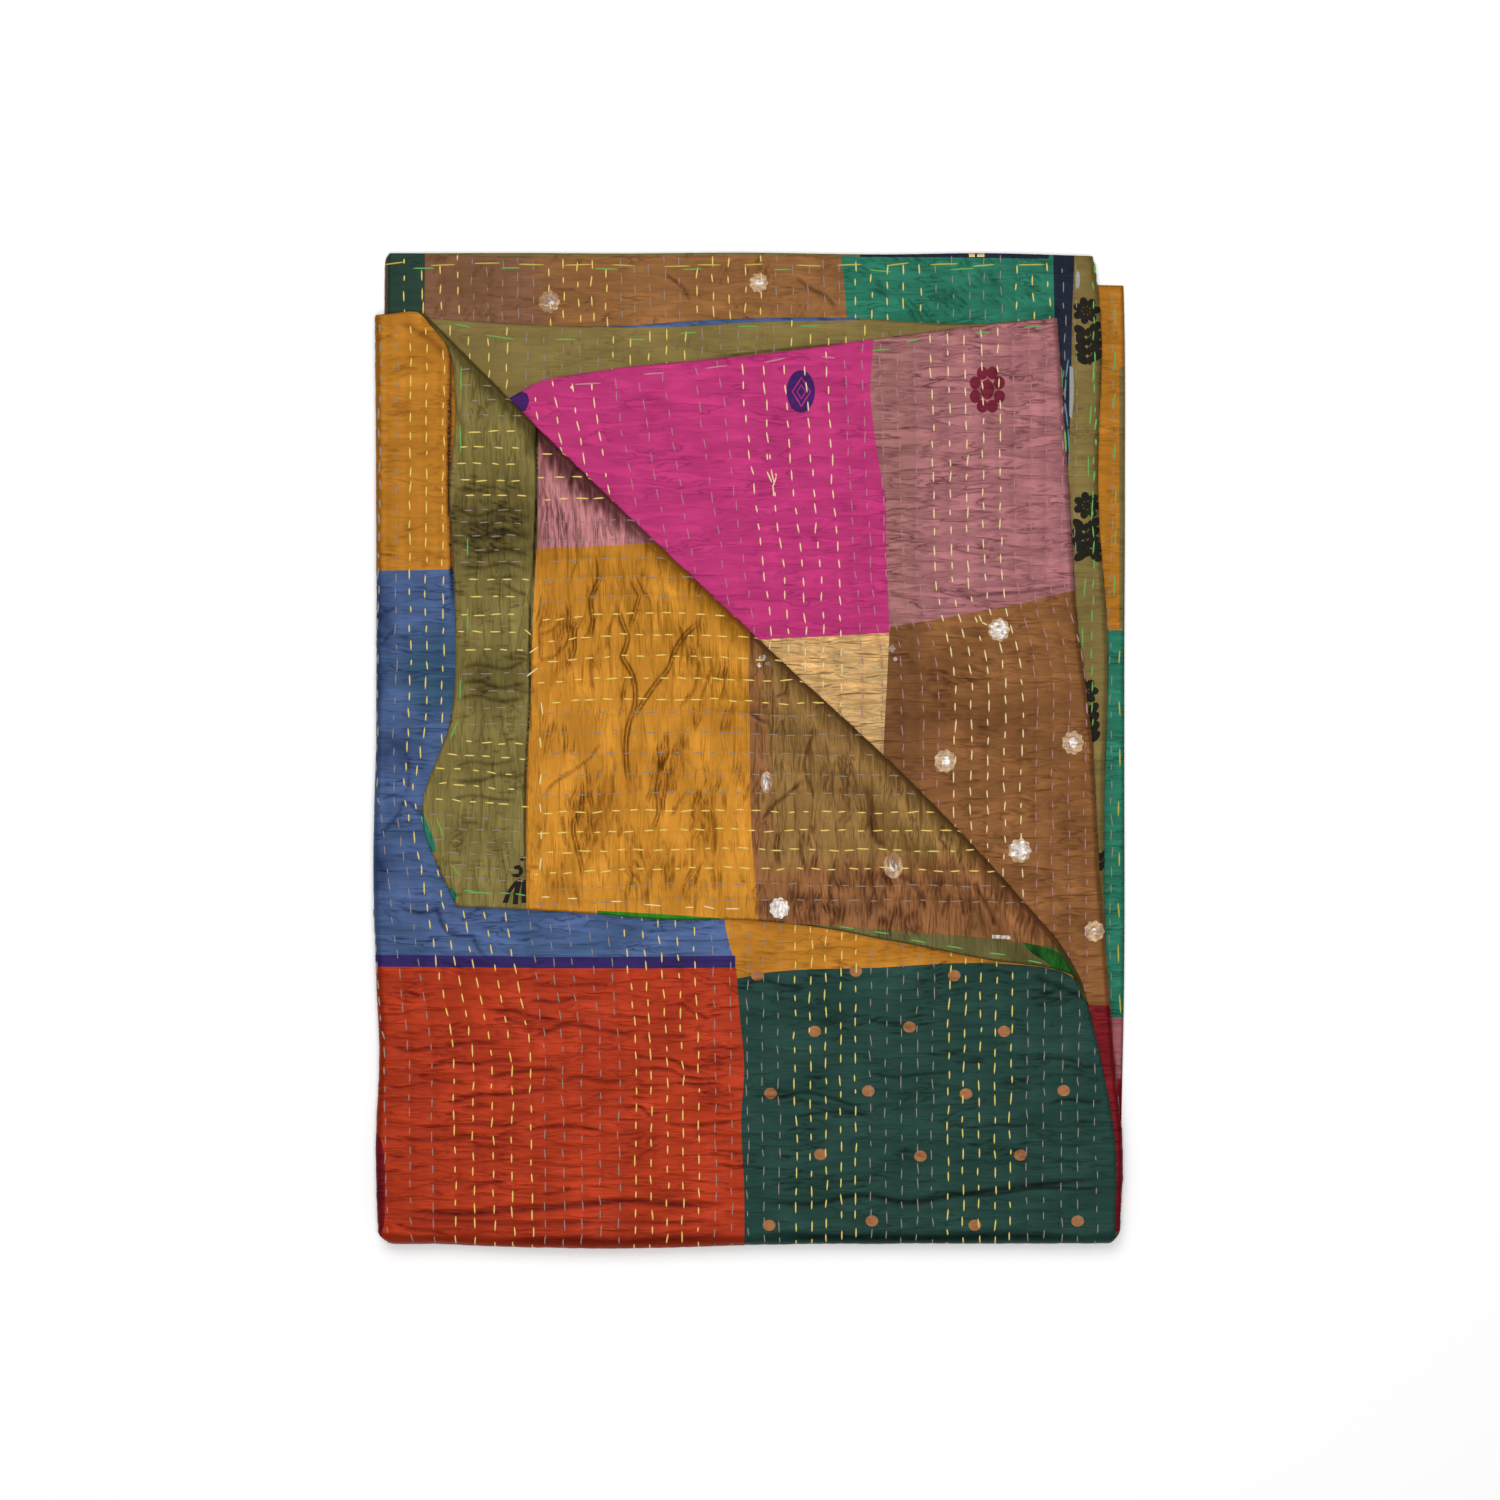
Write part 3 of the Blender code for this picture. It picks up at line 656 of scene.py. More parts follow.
# One of the main creases, in millimetres on its face: a trough if its height is negative, or else a
# pinched ridge. Dark is how much painted shade it adds.
Fold = namedtuple("Fold", "face width height dark points")
FOLDS = (
    # along the bottom fold
    Fold("front", 2.5, -0.6, 1.00, [(-249, -309), (-246, -311), (-230, -314), (-193, -316), (-168, -314),
         (-136, -312), (-105, -309), (-86, -307), (-60, -309), (-36, -310), (-9, -307)]),
    Fold("front", 1.2, -0.5, 0.70, [(-246, -321), (-231, -326), (-216, -328), (-203, -331)]),
    Fold("front", 3.6, -0.3, 0.75, [(-176, -331), (-150, -333), (-110, -333), (-60, -332), (-20, -331),
        (-4, -331)]),
    Fold("front", 2.2, -0.4, 0.60, [(-246, -322), (-200, -321), (-150, -323), (-100, -322), (-40, -322),
        (-6, -321)]),
    Fold("front", 2.2, -0.6, 1.00, [(-5, -313), (18, -309), (45, -309), (68, -304), (87, -304), (97, -307),
         (111, -308), (134, -304), (155, -301), (172, -299), (189, -297), (207, -295), (229, -293),
         (241, -290), (248, -284)]),
    Fold("front", 1.3, -0.5, 0.90, [(132, -302), (163, -303), (198, -298), (224, -299), (247, -299)]),
    Fold("front", 3.4, -0.3, 0.85, [(2, -331), (60, -331), (120, -332), (180, -330), (236, -331)]),
    # orange
    Fold("front", 1.4, -0.6, 0.90, [(-178, -179), (-161, -178), (-152, -181), (-138, -183), (-130, -184)]),
    Fold("front", 1.6, -0.6, 0.90, [(-152, -198), (-136, -191), (-125, -187), (-114, -188), (-100, -191),
        (-76, -195)]),
    Fold("front", 1.3, -0.5, 0.80, [(-155, -173), (-143, -171), (-132, -172), (-118, -169), (-98, -170)]),
    Fold("front", 1.1, -0.5, 0.75, [(-99, -181), (-80, -182), (-66, -183)]),
    Fold("front", 1.0, -0.5, 0.75, [(-76, -196), (-58, -195), (-40, -196)]),
    Fold("front", 1.1, -0.5, 0.85, [(-231, -219), (-217, -215), (-208, -213), (-189, -214), (-174, -212),
        (-145, -212)]),
    Fold("front", 1.5, -0.6, 0.95, [(-180, -224), (-168, -221), (-146, -218), (-126, -218)]),
    Fold("front", 1.0, -0.5, 0.80, [(-227, -222), (-208, -226), (-193, -227)]),
    Fold("front", 1.5, -0.6, 0.85, [(-130, -227), (-118, -223), (-99, -226), (-80, -225)]),
    Fold("front", 1.0, -0.5, 0.80, [(-250, -227), (-241, -230), (-228, -228), (-216, -226)]),
    Fold("front", 1.5, -0.6, 0.90, [(-214, -240), (-200, -239), (-185, -235), (-168, -235), (-153, -233),
         (-138, -231), (-123, -231)]),
    Fold("front", 0.9, -0.4, 0.75, [(-252, -239), (-240, -239), (-228, -240)]),
    Fold("front", 1.2, -0.6, 0.90, [(-158, -261), (-139, -257), (-118, -257), (-98, -260)]),
    Fold("front", 1.2, -0.6, 0.90, [(-243, -264), (-228, -266), (-214, -266), (-189, -264), (-174, -265),
        (-154, -266)]),
    Fold("front", 0.9, -0.5, 0.75, [(-232, -257), (-216, -257), (-189, -255), (-168, -256), (-149, -251)]),
    Fold("front", 1.1, -0.5, 0.85, [(-88, -213), (-80, -209), (-68, -210), (-54, -211), (-40, -217),
        (-30, -215), (-9, -214)]),
    Fold("front", 0.9, -0.5, 0.85, [(-88, -219), (-55, -218), (-44, -223), (-30, -224), (-9, -220)]),
    Fold("front", 0.9, -0.5, 0.80, [(-52, -227), (-36, -228), (-21, -227)]),
    Fold("front", 1.0, -0.5, 0.80, [(-62, -254), (-36, -256), (-8, -253)]),
    Fold("front", 1.0, -0.5, 0.75, [(-88, -245), (-75, -243), (-69, -249), (-58, -246)]),
    Fold("front", 1.4, -0.6, 0.80, [(-252, -200), (-241, -203), (-228, -205), (-216, -203), (-208, -202),
         (-196, -200), (-180, -200), (-164, -199)]),
    Fold("front", 1.0, -0.5, 0.80, [(-40, -204), (-25, -203), (-8, -204)]),
    Fold("front", 1.1, -0.5, 0.75, [(-48, -172), (-38, -179), (-27, -184)]),
    Fold("front", 1.4, -0.4, 0.60, [(-200, -301), (-180, -296), (-158, -292)]),
    Fold("front", 1.1, -0.5, 0.75, [(-142, -303), (-131, -302), (-121, -298)]),
    Fold("front", 1.0, -0.4, 0.70, [(-152, -160), (-130, -161), (-105, -160), (-86, -163)]),
    # teal
    Fold("front", 2.6, -0.4, 0.80, [(190, -153), (205, -159), (219, -165), (233, -171)]),
    Fold("front", 1.2, -0.5, 0.85, [(188, -211), (205, -210), (222, -212), (227, -216), (243, -215)]),
    Fold("front", 1.2, -0.5, 0.85, [(202, -242), (215, -238), (233, -240), (244, -238)]),
    Fold("front", 1.2, -0.5, 0.90, [(-6, -235), (21, -236), (37, -233), (59, -238), (70, -242),
        (84, -240)]),
    Fold("front", 1.0, -0.5, 0.85, [(27, -251), (49, -247), (63, -247), (86, -249)]),
    Fold("front", 1.0, -0.4, 0.80, [(75, -182), (90, -186), (104, -186)]),
    Fold("front", 1.0, -0.5, 0.80, [(78, -220), (101, -223), (115, -221), (141, -219)]),
    Fold("front", 1.2, -0.5, 0.85, [(133, -253), (149, -257), (170, -255), (181, -256), (201, -254)]),
    Fold("front", 1.2, -0.5, 0.85, [(-6, -159), (9, -157), (25, -161), (41, -163)]),
    # blue
    Fold("front", 1.4, -0.5, 0.95, [(-246, -104), (-225, -111), (-213, -109), (-209, -120), (-202, -126),
         (-189, -127), (-184, -137), (-172, -145)]),
    Fold("front", 1.0, -0.5, 0.80, [(-194, -114), (-188, -110), (-181, -104)]),
    Fold("front", 1.2, -0.5, 0.90, [(-234, -31), (-240, -44), (-248, -54), (-252, -60)]),
    Fold("front", 0.9, -0.5, 0.85, [(-235, -32), (-232, -20), (-233, -8), (-236, 2)]),
    Fold("front", 0.9, -0.5, 0.80, [(-234, -33), (-243, -31), (-252, -34)]),
    Fold("front", 0.9, -0.5, 0.80, [(-234, -34), (-226, -42), (-218, -46)]),
    Fold("front", 1.2, -0.5, 0.90, [(-252, 70), (-246, 78), (-240, 84)]),
    Fold("front", 1.0, -0.5, 0.80, [(-254, 100), (-247, 94), (-240, 98)]),
    # beside the turned corner: painted shadow in the gap by its hem, and painted shade by its corner
    Fold("front", 1.4, -0.6, 2.20, [(-203.8, 300), (-203.8, 262), (-204.6, 220), (-204.9, 180),
        (-203.8, 140), (-201.8, 86)]),
    Fold("front", 3.0, -0.2, 0.65, [(-240, 292), (-226, 285), (-214, 276), (-205, 264)]),
    # olive of the turned corner, and lines of painted shadow beside the mauve's and mustard's seams
    Fold("flap", 1.0, -0.5, 0.85, [(-204, 180), (-190, 176), (-176, 179), (-160, 174)]),
    Fold("flap", 1.3, -0.6, 0.95, [(-203, 165), (-186, 159), (-172, 163), (-149, 158)]),
    Fold("flap", 1.3, -0.6, 0.95, [(-202, 150), (-186, 145), (-170, 149), (-148, 143)]),
    Fold("flap", 1.1, -0.6, 0.90, [(-198, 139), (-182, 134), (-168, 137), (-147, 131)]),
    Fold("flap", 1.3, -0.5, 0.90, [(-200, 126), (-182, 124), (-166, 127), (-150, 122)]),
    Fold("flap", 1.1, -0.5, 0.85, [(-168, 114), (-160, 108), (-151, 105)]),
    Fold("flap", 1.3, -0.5, 0.90, [(-199, 55), (-184, 58), (-166, 55), (-155, 60), (-147, 64)]),
    Fold("flap", 1.3, -0.5, 0.90, [(-200, 44), (-186, 47), (-170, 42), (-150, 47)]),
    Fold("flap", 1.5, -0.5, 0.90, [(-202, 34), (-186, 37), (-170, 33), (-151, 36)]),
    Fold("flap", 1.1, -0.5, 0.80, [(-203, -12), (-190, -8), (-176, -10), (-158, -6)]),
    Fold("flap", 1.2, -0.5, 0.85, [(-206, -20), (-188, -22), (-170, -17), (-154, -21)]),
    Fold("flap", 1.1, -0.5, 0.80, [(-206, -36), (-190, -31), (-172, -34), (-156, -34)]),
    Fold("flap", 1.0, -0.6, 2.20, [(-143.4, 262), (-143.6, 210), (-144.2, 173), (-146.5, 137),
        (-148.5, 100)]),
    Fold("flap", 0.9, -0.6, 1.70, [(-149.0, 130), (-149.8, 75), (-150, 33), (-152.8, -20), (-153, -71),
        (-153, -104)]),
    # mustard of the turned corner
    Fold("flap", 0.9, 0.8, 0.85, [(-103, 136), (-102, 116), (-108, 103), (-107, 89), (-109, 74)]),
    Fold("flap", 0.9, 0.9, 0.90, [(-90, 106), (-87, 88), (-83, 77), (-87, 63), (-80, 51), (-78, 33),
         (-82, 19), (-84, 8), (-84, -10), (-81, -31)]),
    Fold("flap", 0.9, 0.9, 0.90, [(-30, 91), (-44, 78), (-51, 67), (-55, 56), (-64, 45), (-73, 32),
        (-81, 19)]),
    Fold("flap", 0.8, 0.7, 0.85, [(-80, 118), (-74, 106), (-78, 93), (-82, 82)]),
    Fold("flap", 0.8, -0.5, 0.80, [(-129, 90), (-132, 84), (-138, 80), (-147, 78)]),
    Fold("flap", 0.8, -0.5, 0.80, [(-118, 92), (-122, 82), (-127, 70), (-135, 63), (-147, 60)]),
    Fold("flap", 0.8, -0.5, 0.80, [(-99, 7), (-111, -7), (-122, -15), (-133, -22), (-142, -32)]),
    Fold("flap", 0.8, 0.7, 0.85, [(-115, -18), (-115, -41), (-120, -50), (-118, -65), (-115, -76),
        (-113, -92)]),
    Fold("flap", 1.0, -0.6, 0.85, [(-25, -38), (-24, -55), (-25, -74)]),
    Fold("flap", 0.8, -0.5, 0.75, [(-129, -43), (-127, -55), (-124, -68)]),
    Fold("flap", 0.8, 0.6, 0.80, [(-60, -12), (-63, -27), (-62, -42), (-67, -56)]),
    Fold("flap", 0.8, -0.5, 0.75, [(-42, -27), (-50, -38), (-54, -47)]),
    Fold("flap", 0.9, -0.5, 0.80, [(-33, 65), (-36, 52), (-39, 40), (-50, 27)]),
    Fold("flap", 0.8, -0.5, 0.75, [(-25, 57), (-31, 43), (-35, 33)]),
    Fold("flap", 0.9, -0.5, 0.80, [(-92, 95), (-97, 77), (-96, 66)]),
    Fold("flap", 1.0, -0.5, 0.85, [(-108, 66), (-108, 50), (-107, 40)]),
    Fold("flap", 0.8, 0.6, 0.80, [(-114, 92), (-119, 80), (-120, 66), (-126, 54)]),
    # brown of the turned corner
    Fold("flap", 1.1, -0.6, 0.95, [(37, -20), (27, -29), (18, -36), (7, -50)]),
    Fold("flap", 1.0, -0.6, 0.90, [(45, 18), (41, 5), (37, -11), (40, -22), (45, -38)]),
    Fold("flap", 2.4, -0.5, 0.80, [(77, -20), (82, -36), (82, -50), (86, -62), (96, -68)]),
    Fold("flap", 0.8, 0.7, 0.90, [(20, -54), (18, -66), (20, -80)]),
    Fold("flap", 1.0, -0.5, 0.80, [(29, 55), (26, 40), (16, 36)]),
    Fold("flap", 0.9, -0.5, 0.85, [(37, -53), (35, -66), (37, -82)]),
    Fold("flap", 0.9, -0.5, 0.80, [(59, -71), (55, -90), (57, -109)]),
    Fold("flap", 1.2, -0.5, 0.80, [(80, -75), (83, -91), (89, -111)]),
    Fold("flap", 1.8, -0.5, 0.75, [(99, -82), (114, -95), (120, -112)]),
    Fold("flap", 1.3, -0.5, 0.75, [(137, -97), (132, -108), (130, -116)]),
    Fold("flap", 1.8, -0.5, 0.75, [(152, -88), (163, -107), (168, -122)]),
    Fold("flap", 1.2, -0.5, 0.75, [(133, -47), (131, -59), (138, -68)]),
    Fold("flap", 1.1, -0.5, 0.80, [(0, 26), (6, 21), (13, 18)]),
    # between the turned corner and the margins; on the middle face, painted shadow by the inner hem
    Fold("inner", 1.2, -0.5, 0.90, [(136, 107), (151, 105), (167, 106), (190, 108), (222, 113)]),
    Fold("inner", 0.9, -0.4, 0.70, [(92, 182), (100, 181), (112, 180), (120, 186)]),
    Fold("inner", 0.9, -0.4, 0.70, [(130, 197), (147, 192), (166, 192)]),
    Fold("inner", 1.0, -0.4, 0.75, [(172, 160), (190, 167), (206, 168)]),
    Fold("inner", 1.0, -0.4, 0.70, [(176, 158), (166, 156), (158, 160)]),
    Fold("middle", 1.0, -0.6, 1.00, [(-30, 266.6), (-10, 269.4), (20, 272.8), (57, 276.4), (70, 277.4)]),
    Fold("under", 1.2, -0.5, 0.85, [(-60, 326), (-48, 318), (-40, 306)]),
    Fold("under", 1.2, -0.5, 0.85, [(30, 324), (40, 316), (52, 310), (60, 300)]),
)

# Small creases in bundles of one to four over a part of a face, in millimetres: the part's corners,
# the way they run in degrees, how many bundles, and each crease's length, width, height and shade
Bundle = namedtuple("Bundle", "face part lean count length width height dark")
BUNDLES = (
    Bundle("front", (-250, -300, -8, -150), 0, 56, 24, 0.8, -0.40, 0.70),
    Bundle("front", (-5, -300, 246, -153), 0, 70, 22, 0.8, -0.40, 0.85),
    Bundle("front", (-252, -140, -10, 118), -12, 60, 15, 0.8, -0.35, 0.60),
    Bundle("front", (-253, 122, -205, 286), 4, 20, 18, 0.9, -0.35, 0.55),
    Bundle("front", (-8, -148, 236, -118), 0, 9, 22, 0.9, -0.30, 0.50),
    Bundle("front", (-250, -1000, 250, -350), 0, 90, 40, 1.2, -0.30, 0.40),
    Bundle("flap", (-206, -102, -152, 180), 6, 60, 12, 0.8, -0.40, 0.85),
    Bundle("flap", (-204, 120, -154, 180), -14, 26, 9, 0.9, -0.45, 1.10),
    Bundle("flap", (-146, -104, 0, 128), 84, 46, 26, 0.7, 0.60, 0.66),
    Bundle("flap", (-146, -104, 0, 10), 92, 40, 22, 0.7, -0.45, 0.74),
    Bundle("flap", (-141, 134, -64, 226), 86, 16, 22, 1.0, -0.45, 0.85),
    Bundle("flap", (2, -120, 214, 60), 84, 70, 16, 0.8, -0.45, 0.70),
    Bundle("flap", (6, -122, 190, -84), 88, 26, 18, 1.0, 0.45, 0.75),
    Bundle("inner", (-146, 78, 86, 266), 5, 80, 20, 0.8, -0.30, 0.42),
    Bundle("inner", (86, 96, 212, 288), 6, 110, 11, 0.75, -0.30, 0.72),
    Bundle("inner", (0, -24, 90, 76), 0, 34, 18, 0.6, -0.30, 0.55),
    Bundle("inner", (93, -160, 240, 94), -6, 66, 16, 0.8, -0.35, 0.55),
    Bundle("inner", (93, 0, 160, 70), -8, 16, 16, 0.9, -0.40, 0.80),
    Bundle("middle", (-200, 250, 80, 292), 88, 12, 10, 0.7, -0.25, 0.40),
    Bundle("under", (-224, 292, 62, 338), 62, 34, 13, 0.8, -0.35, 0.60),
    Bundle("under", (64, 292, 206, 338), -40, 40, 11, 0.8, -0.40, 0.75),
    Bundle("under", (206, -330, 246, 335), 8, 30, 9, 0.7, -0.25, 0.50),
    Bundle("lowest", (243, -330, 258, 330), 4, 50, 10, 0.8, -0.35, 0.60),
)

# Soft places of painted shade, in millimetres: middle, size and amount
Blot = namedtuple("Blot", "face x y wide high amount")
BLOTS = (
    Blot("front", -250, 88, 12, 44, 0.65),
    Blot("front", -252, 50, 8, 36, 0.55),
    Blot("front", -244, 0, 26, 26, 0.60),
    Blot("front", -251, -82, 11, 34, 0.65),
    Blot("front", -220, -108, 34, 14, 0.25),
    Blot("flap", -176, 150, 62, 56, 0.72),
    Blot("flap", -176, 46, 52, 34, 0.42),
    Blot("flap", -180, -16, 56, 26, 0.25),
    Blot("flap", 86, -50, 8, 22, 0.40),
    Blot("flap", 40, 10, 22, 50, 0.10),
    Blot("flap", 100, -108, 180, 18, 0.12),
    Blot("inner", 150, 22, 120, 46, 0.35),
    Blot("inner", 120, 52, 60, 24, 0.35),
    Blot("inner", 150, -90, 90, 40, 0.15),
    Blot("under", 140, 315, 60, 16, 0.25),
    Blot("under", -170, 318, 80, 30, 0.15),
)

# The shade behind the turned corner's roll: share of the diagonal, width in millimetres, and depth
ROLL_SHADE = (
    (0.00, 5, 0.55), (0.06, 9, 0.60), (0.12, 11, 0.65), (0.155, 12, 0.70), (0.17, 21, 0.85),
    (0.21, 21, 0.85), (0.25, 18, 0.85), (0.28, 13, 0.80), (0.33, 7, 0.55), (0.37, 4.5, 0.45),
    (0.47, 4, 0.40), (0.55, 4, 0.45), (0.80, 4.5, 0.45), (1.00, 3, 0.40),
)


def bundled(face):
    """Each small crease of a face: middle, way, half length, width, height, shade, wave and phase."""
    generator = np.random.default_rng(face.seed + 300)
    made = []
    for bundle in BUNDLES:
        if bundle.face != face.name:
            continue
        x0, y0, x1, y1 = bundle.part
        for _ in range(bundle.count):
            x, y = generator.uniform(x0, x1), generator.uniform(y0, y1)
            lean = math.radians(bundle.lean + generator.normal(0, 9))
            wave, phase = generator.uniform(0.3, 1.1), generator.uniform(0, 2 * math.pi)
            apart = generator.uniform(2.3, 4.2)
            for j in range(int(generator.integers(1, 5))):
                half = bundle.length / 2 * generator.uniform(0.5, 1.5)
                slip, off = generator.normal(0, 0.35 * half), apart * j + generator.normal(0, 0.5)
                cx = x + slip * math.cos(lean) - off * math.sin(lean)
                cy = y + slip * math.sin(lean) + off * math.cos(lean)
                strong = generator.uniform(0.55, 1.1)
                width = bundle.width * generator.uniform(0.8, 1.3)
                sizes = (cx, cy, half, width, bundle.height * strong, wave)
                made.append((*(MM * v for v in sizes), lean, bundle.dark * strong, phase))
    return made


def press(made, painted_shade, near, far, fade, width, height, dark):
    """Add one crease: a trough with painted shade in it, or a ridge with painted shade down each flank."""
    made[near] += height * fade * np.exp(-((far / width) ** 2))
    off = far if height < 0 else np.abs(far) - 1.3 * width
    shade = dark * fade * np.exp(-((off / (0.85 * width)) ** 2))
    painted_shade[near] = 1 - (1 - painted_shade[near]) * (1 - shade)


def small_creases(face, p, q, made, painted_shade):
    """Add the bundled small creases to the height and the shade of points on a face."""
    for x, y, half, width, height, wave, lean, dark, phase in bundled(face):
        reach = half + 3 * width + wave
        near = np.flatnonzero((np.abs(p - x) < reach) & (np.abs(q - y) < reach))
        c, s = math.cos(lean), math.sin(lean)
        u = (p[near] - x) * c + (q[near] - y) * s
        v = (q[near] - y) * c - (p[near] - x) * s - wave * np.sin(u / 0.0036 + phase)
        there = (np.abs(u) < half) & (np.abs(v) < 3 * width)
        near, u, v = near[there], u[there], v[there]
        fade = np.clip((1 - np.abs(u) / half) / 0.6, 0, 1)
        fade = fade * fade * (3 - 2 * fade) * (0.75 + 0.25 * np.sin(u / 0.0021 + 2 * phase))
        press(made, painted_shade, near, v, fade, width, height, dark)


def near_line(p, q, line, reach):
    """The points within reach of a line, how far from it they are, and how far along it, from 0 to 1."""
    low, high = line.min(axis=0) - reach, line.max(axis=0) + reach
    near = np.flatnonzero((p > low[0]) & (p < high[0]) & (q > low[1]) & (q < high[1]))
    spot = np.stack([p[near], q[near]], axis=1)
    best, share = np.full(len(near), 1e9), np.zeros(len(near))
    for k, (a, b) in enumerate(zip(line[:-1], line[1:])):
        way = b - a
        t = np.clip(((spot - a) @ way) / (way @ way), 0, 1)
        far = np.linalg.norm(spot - a - t[:, None] * way, axis=1)
        closer = far < best
        best[closer] = far[closer]
        share[closer] = ((k + t) / (len(line) - 1))[closer]
    return near, best, share


def ease(value):
    """From 0 to 1 smoothly, as the value goes from 0 to 1."""
    value = np.clip(value, 0, 1)
    return value * value * (3 - 2 * value)


def roll_shade(p, q):
    """The ragged shade behind the turned corner's roll, from 0 to 1."""
    along, past = diagonal(p, q)
    share = along / (TURN_END - TURN_START).length
    at, wide, depth = (np.array(column, dtype=float) for column in zip(*ROLL_SHADE))
    ragged = 1 + 0.60 * noise(p / 0.0035, q / 0.020, 5) + 0.25 * noise(p / 0.012, q / 0.012, 6)
    behind = smooth(TURN, "bow", share) - past
    reach = np.interp(share, at, wide) * MM * ragged
    return np.interp(share, at, depth) * ease(1.5 * (1 - behind / reach))


def tint(face, p, q):
    """How far a silk's colour goes over to its second shade, from 0 to 1."""
    if face is FLAP:
        wave = 0.006 * noise(p / 0.012, q / 0.03, 9)
        return ease((p - 0.006 + wave) / 0.014) * ease((q + 0.090 + wave - 0.05 * p) / 0.022)
    if face is INNER:
        return 1 - ease((p - 0.105) / 0.024)
    if face is UNDER:
        return 1 - ease((p + 0.165) / 0.050)
    if face is FRONT:
        return 0.9 * np.exp(-(((p + 0.214) / 0.026) ** 2) - ((q - 0.050) / 0.030) ** 2)
    return np.zeros_like(p)


def relief(face, p, q):
    """Height of the silk above its flat lie in metres, and how much painted shade it has, from 0 to 1."""
    along, over = row_frame(face, p, q)
    made = 0.00028 * noise(along / 0.011, over / 0.042, face.seed + 20)
    made += 0.00020 * noise(along / 0.0058, over / 0.016, face.seed + 21)
    made *= np.clip(0.75 + 0.9 * noise(along / 0.06, over / 0.06, face.seed + 22), 0.3, 1.4)
    painted_shade = np.zeros_like(p)
    for blot in BLOTS:
        if blot.face == face.name:
            far = ((p / MM - blot.x) / blot.wide) ** 2 + ((q / MM - blot.y) / blot.high) ** 2
            ragged = 1 + 0.5 * noise(p / 0.008, q / 0.006, face.seed + 24)
            painted_shade = np.maximum(painted_shade, blot.amount * ragged * np.exp(-2.4 * far))
    if face is FLAP:
        painted_shade = np.maximum(painted_shade, roll_shade(p, q))
    small_creases(face, p, q, made, painted_shade)
    for fold in FOLDS:
        if fold.face != face.name:
            continue
        width = fold.width * MM
        near, far, share = near_line(p, q, curve(fold.points, closed=False, step=0.003), 4 * width)
        fade = ease(np.minimum(share, 1 - share) / 0.18)
        fade = fade * (0.85 + 0.15 * noise(p[near] / 0.006, q[near] / 0.006, face.seed + 25))
        press(made, painted_shade, near, far, fade, width, fold.height * MM, fold.dark)
    share = row_share(face, p, q)
    off = share - np.round(share)
    made -= ROW_DIP * np.exp(-((off / 0.17) ** 2))
    made = np.maximum(made, DEEPEST)
    if face is FRONT:  # the underside only sinks in, because it rests on what it lies on
        made = np.where(q < UNDERSIDE, PRESSED * made - PRESSED_IN, made)
    return made, np.clip(painted_shade, 0, 1)


def surface(face, p, q, rise=0.0):
    """Points on a face of the puckered cloth, `rise` above the silk."""
    strip, run = face.place(p, q)
    height, _ = relief(face, p, q)
    out = face.side * (PATCH_HALF + height + rise)
    return fold_cloth(strip, run) + normals(strip, run) * out[:, None]


# ---------------------------------------------------------------- patches
def curve(points, closed=True, step=0.0016):
    """A smooth line through points given in millimetres, with sharp turns kept as corners."""
    p = np.array(points, dtype=float) * MM
    before, after = np.roll(p, 1, axis=0), np.roll(p, -1, axis=0)
    come, go = p - before, after - p
    come /= np.linalg.norm(come, axis=1)[:, None]
    go /= np.linalg.norm(go, axis=1)[:, None]
    corner = (come * go).sum(axis=1) < 0.80
    if not closed:
        corner[[0, -1]] = True
    mean = come + go
    mean /= np.maximum(np.linalg.norm(mean, axis=1), 1e-9)[:, None]
    leave, arrive = np.where(corner[:, None], go, mean), np.where(corner[:, None], come, mean)
    made = []
    for k in range(len(p) if closed else len(p) - 1):
        nxt = (k + 1) % len(p)
        size = np.linalg.norm(p[nxt] - p[k])
        t = np.linspace(0, 1, max(2, int(size / step) + 1))[:-1, None]
        made.append(
            p[k] * (1 + 2 * t) * (1 - t) ** 2
            + p[nxt] * t * t * (3 - 2 * t)
            + size * t * (1 - t) * (leave[k] * (1 - t) - arrive[nxt] * t)
        )
    if not closed:
        made.append(p[-1:])
    return np.concatenate(made)


def oval(x, y, wide, high, lobes=0, depth=0.0, turn=0.0, count=20):
    """A closed outline round a middle, in millimetres, with lobes if asked for."""
    angle = np.linspace(0, 2 * math.pi, count, endpoint=False)
    reach = 1 + depth * np.cos(lobes * angle)
    u, v = wide / 2 * reach * np.cos(angle), high / 2 * reach * np.sin(angle)
    c, s = math.cos(turn), math.sin(turn)
    return np.stack([x + u * c - v * s, y + u * s + v * c], axis=1) * MM


def within(points, outline):
    """Whether each point lies inside a closed outline."""
    inside = np.zeros(len(points), dtype=bool)
    low, high = outline.min(axis=0), outline.max(axis=0)
    near = np.flatnonzero(((points >= low) & (points <= high)).all(axis=1))
    x, y = points[near].T
    found = np.zeros(len(near), dtype=bool)
    for (x0, y0), (x1, y1) in zip(outline, np.roll(outline, -1, axis=0)):
        if y0 == y1:
            continue
        crosses = (y0 > y) != (y1 > y)
        found ^= crosses & (x < x0 + (y - y0) * (x1 - x0) / (y1 - y0))
    inside[near] = found
    return inside


# A region is one patch, trim or kind of motif: its silk, its outlines, and how many layers it adds
Region = namedtuple("Region", "name silk layers outlines")


def border(face):
    """The outline of a face's cloth in its flat coordinates."""
    (low, high), (first, last) = face.strips, face.runs
    n = 260
    strip = np.concatenate(
        [np.linspace(low, high, n), np.full(n, high), np.linspace(high, low, n), np.full(n, low)]
    )
    run = np.concatenate(
        [np.full(n, first), np.linspace(first, last, n), np.full(n, last), np.linspace(last, first, n)]
    )
    keep = np.ones(4 * n, dtype=bool)
    keep[[n, 2 * n, 3 * n, 4 * n - 1]] = False
    return np.stack(face.spread(strip[keep].astype(float), run[keep].astype(float)), axis=1)


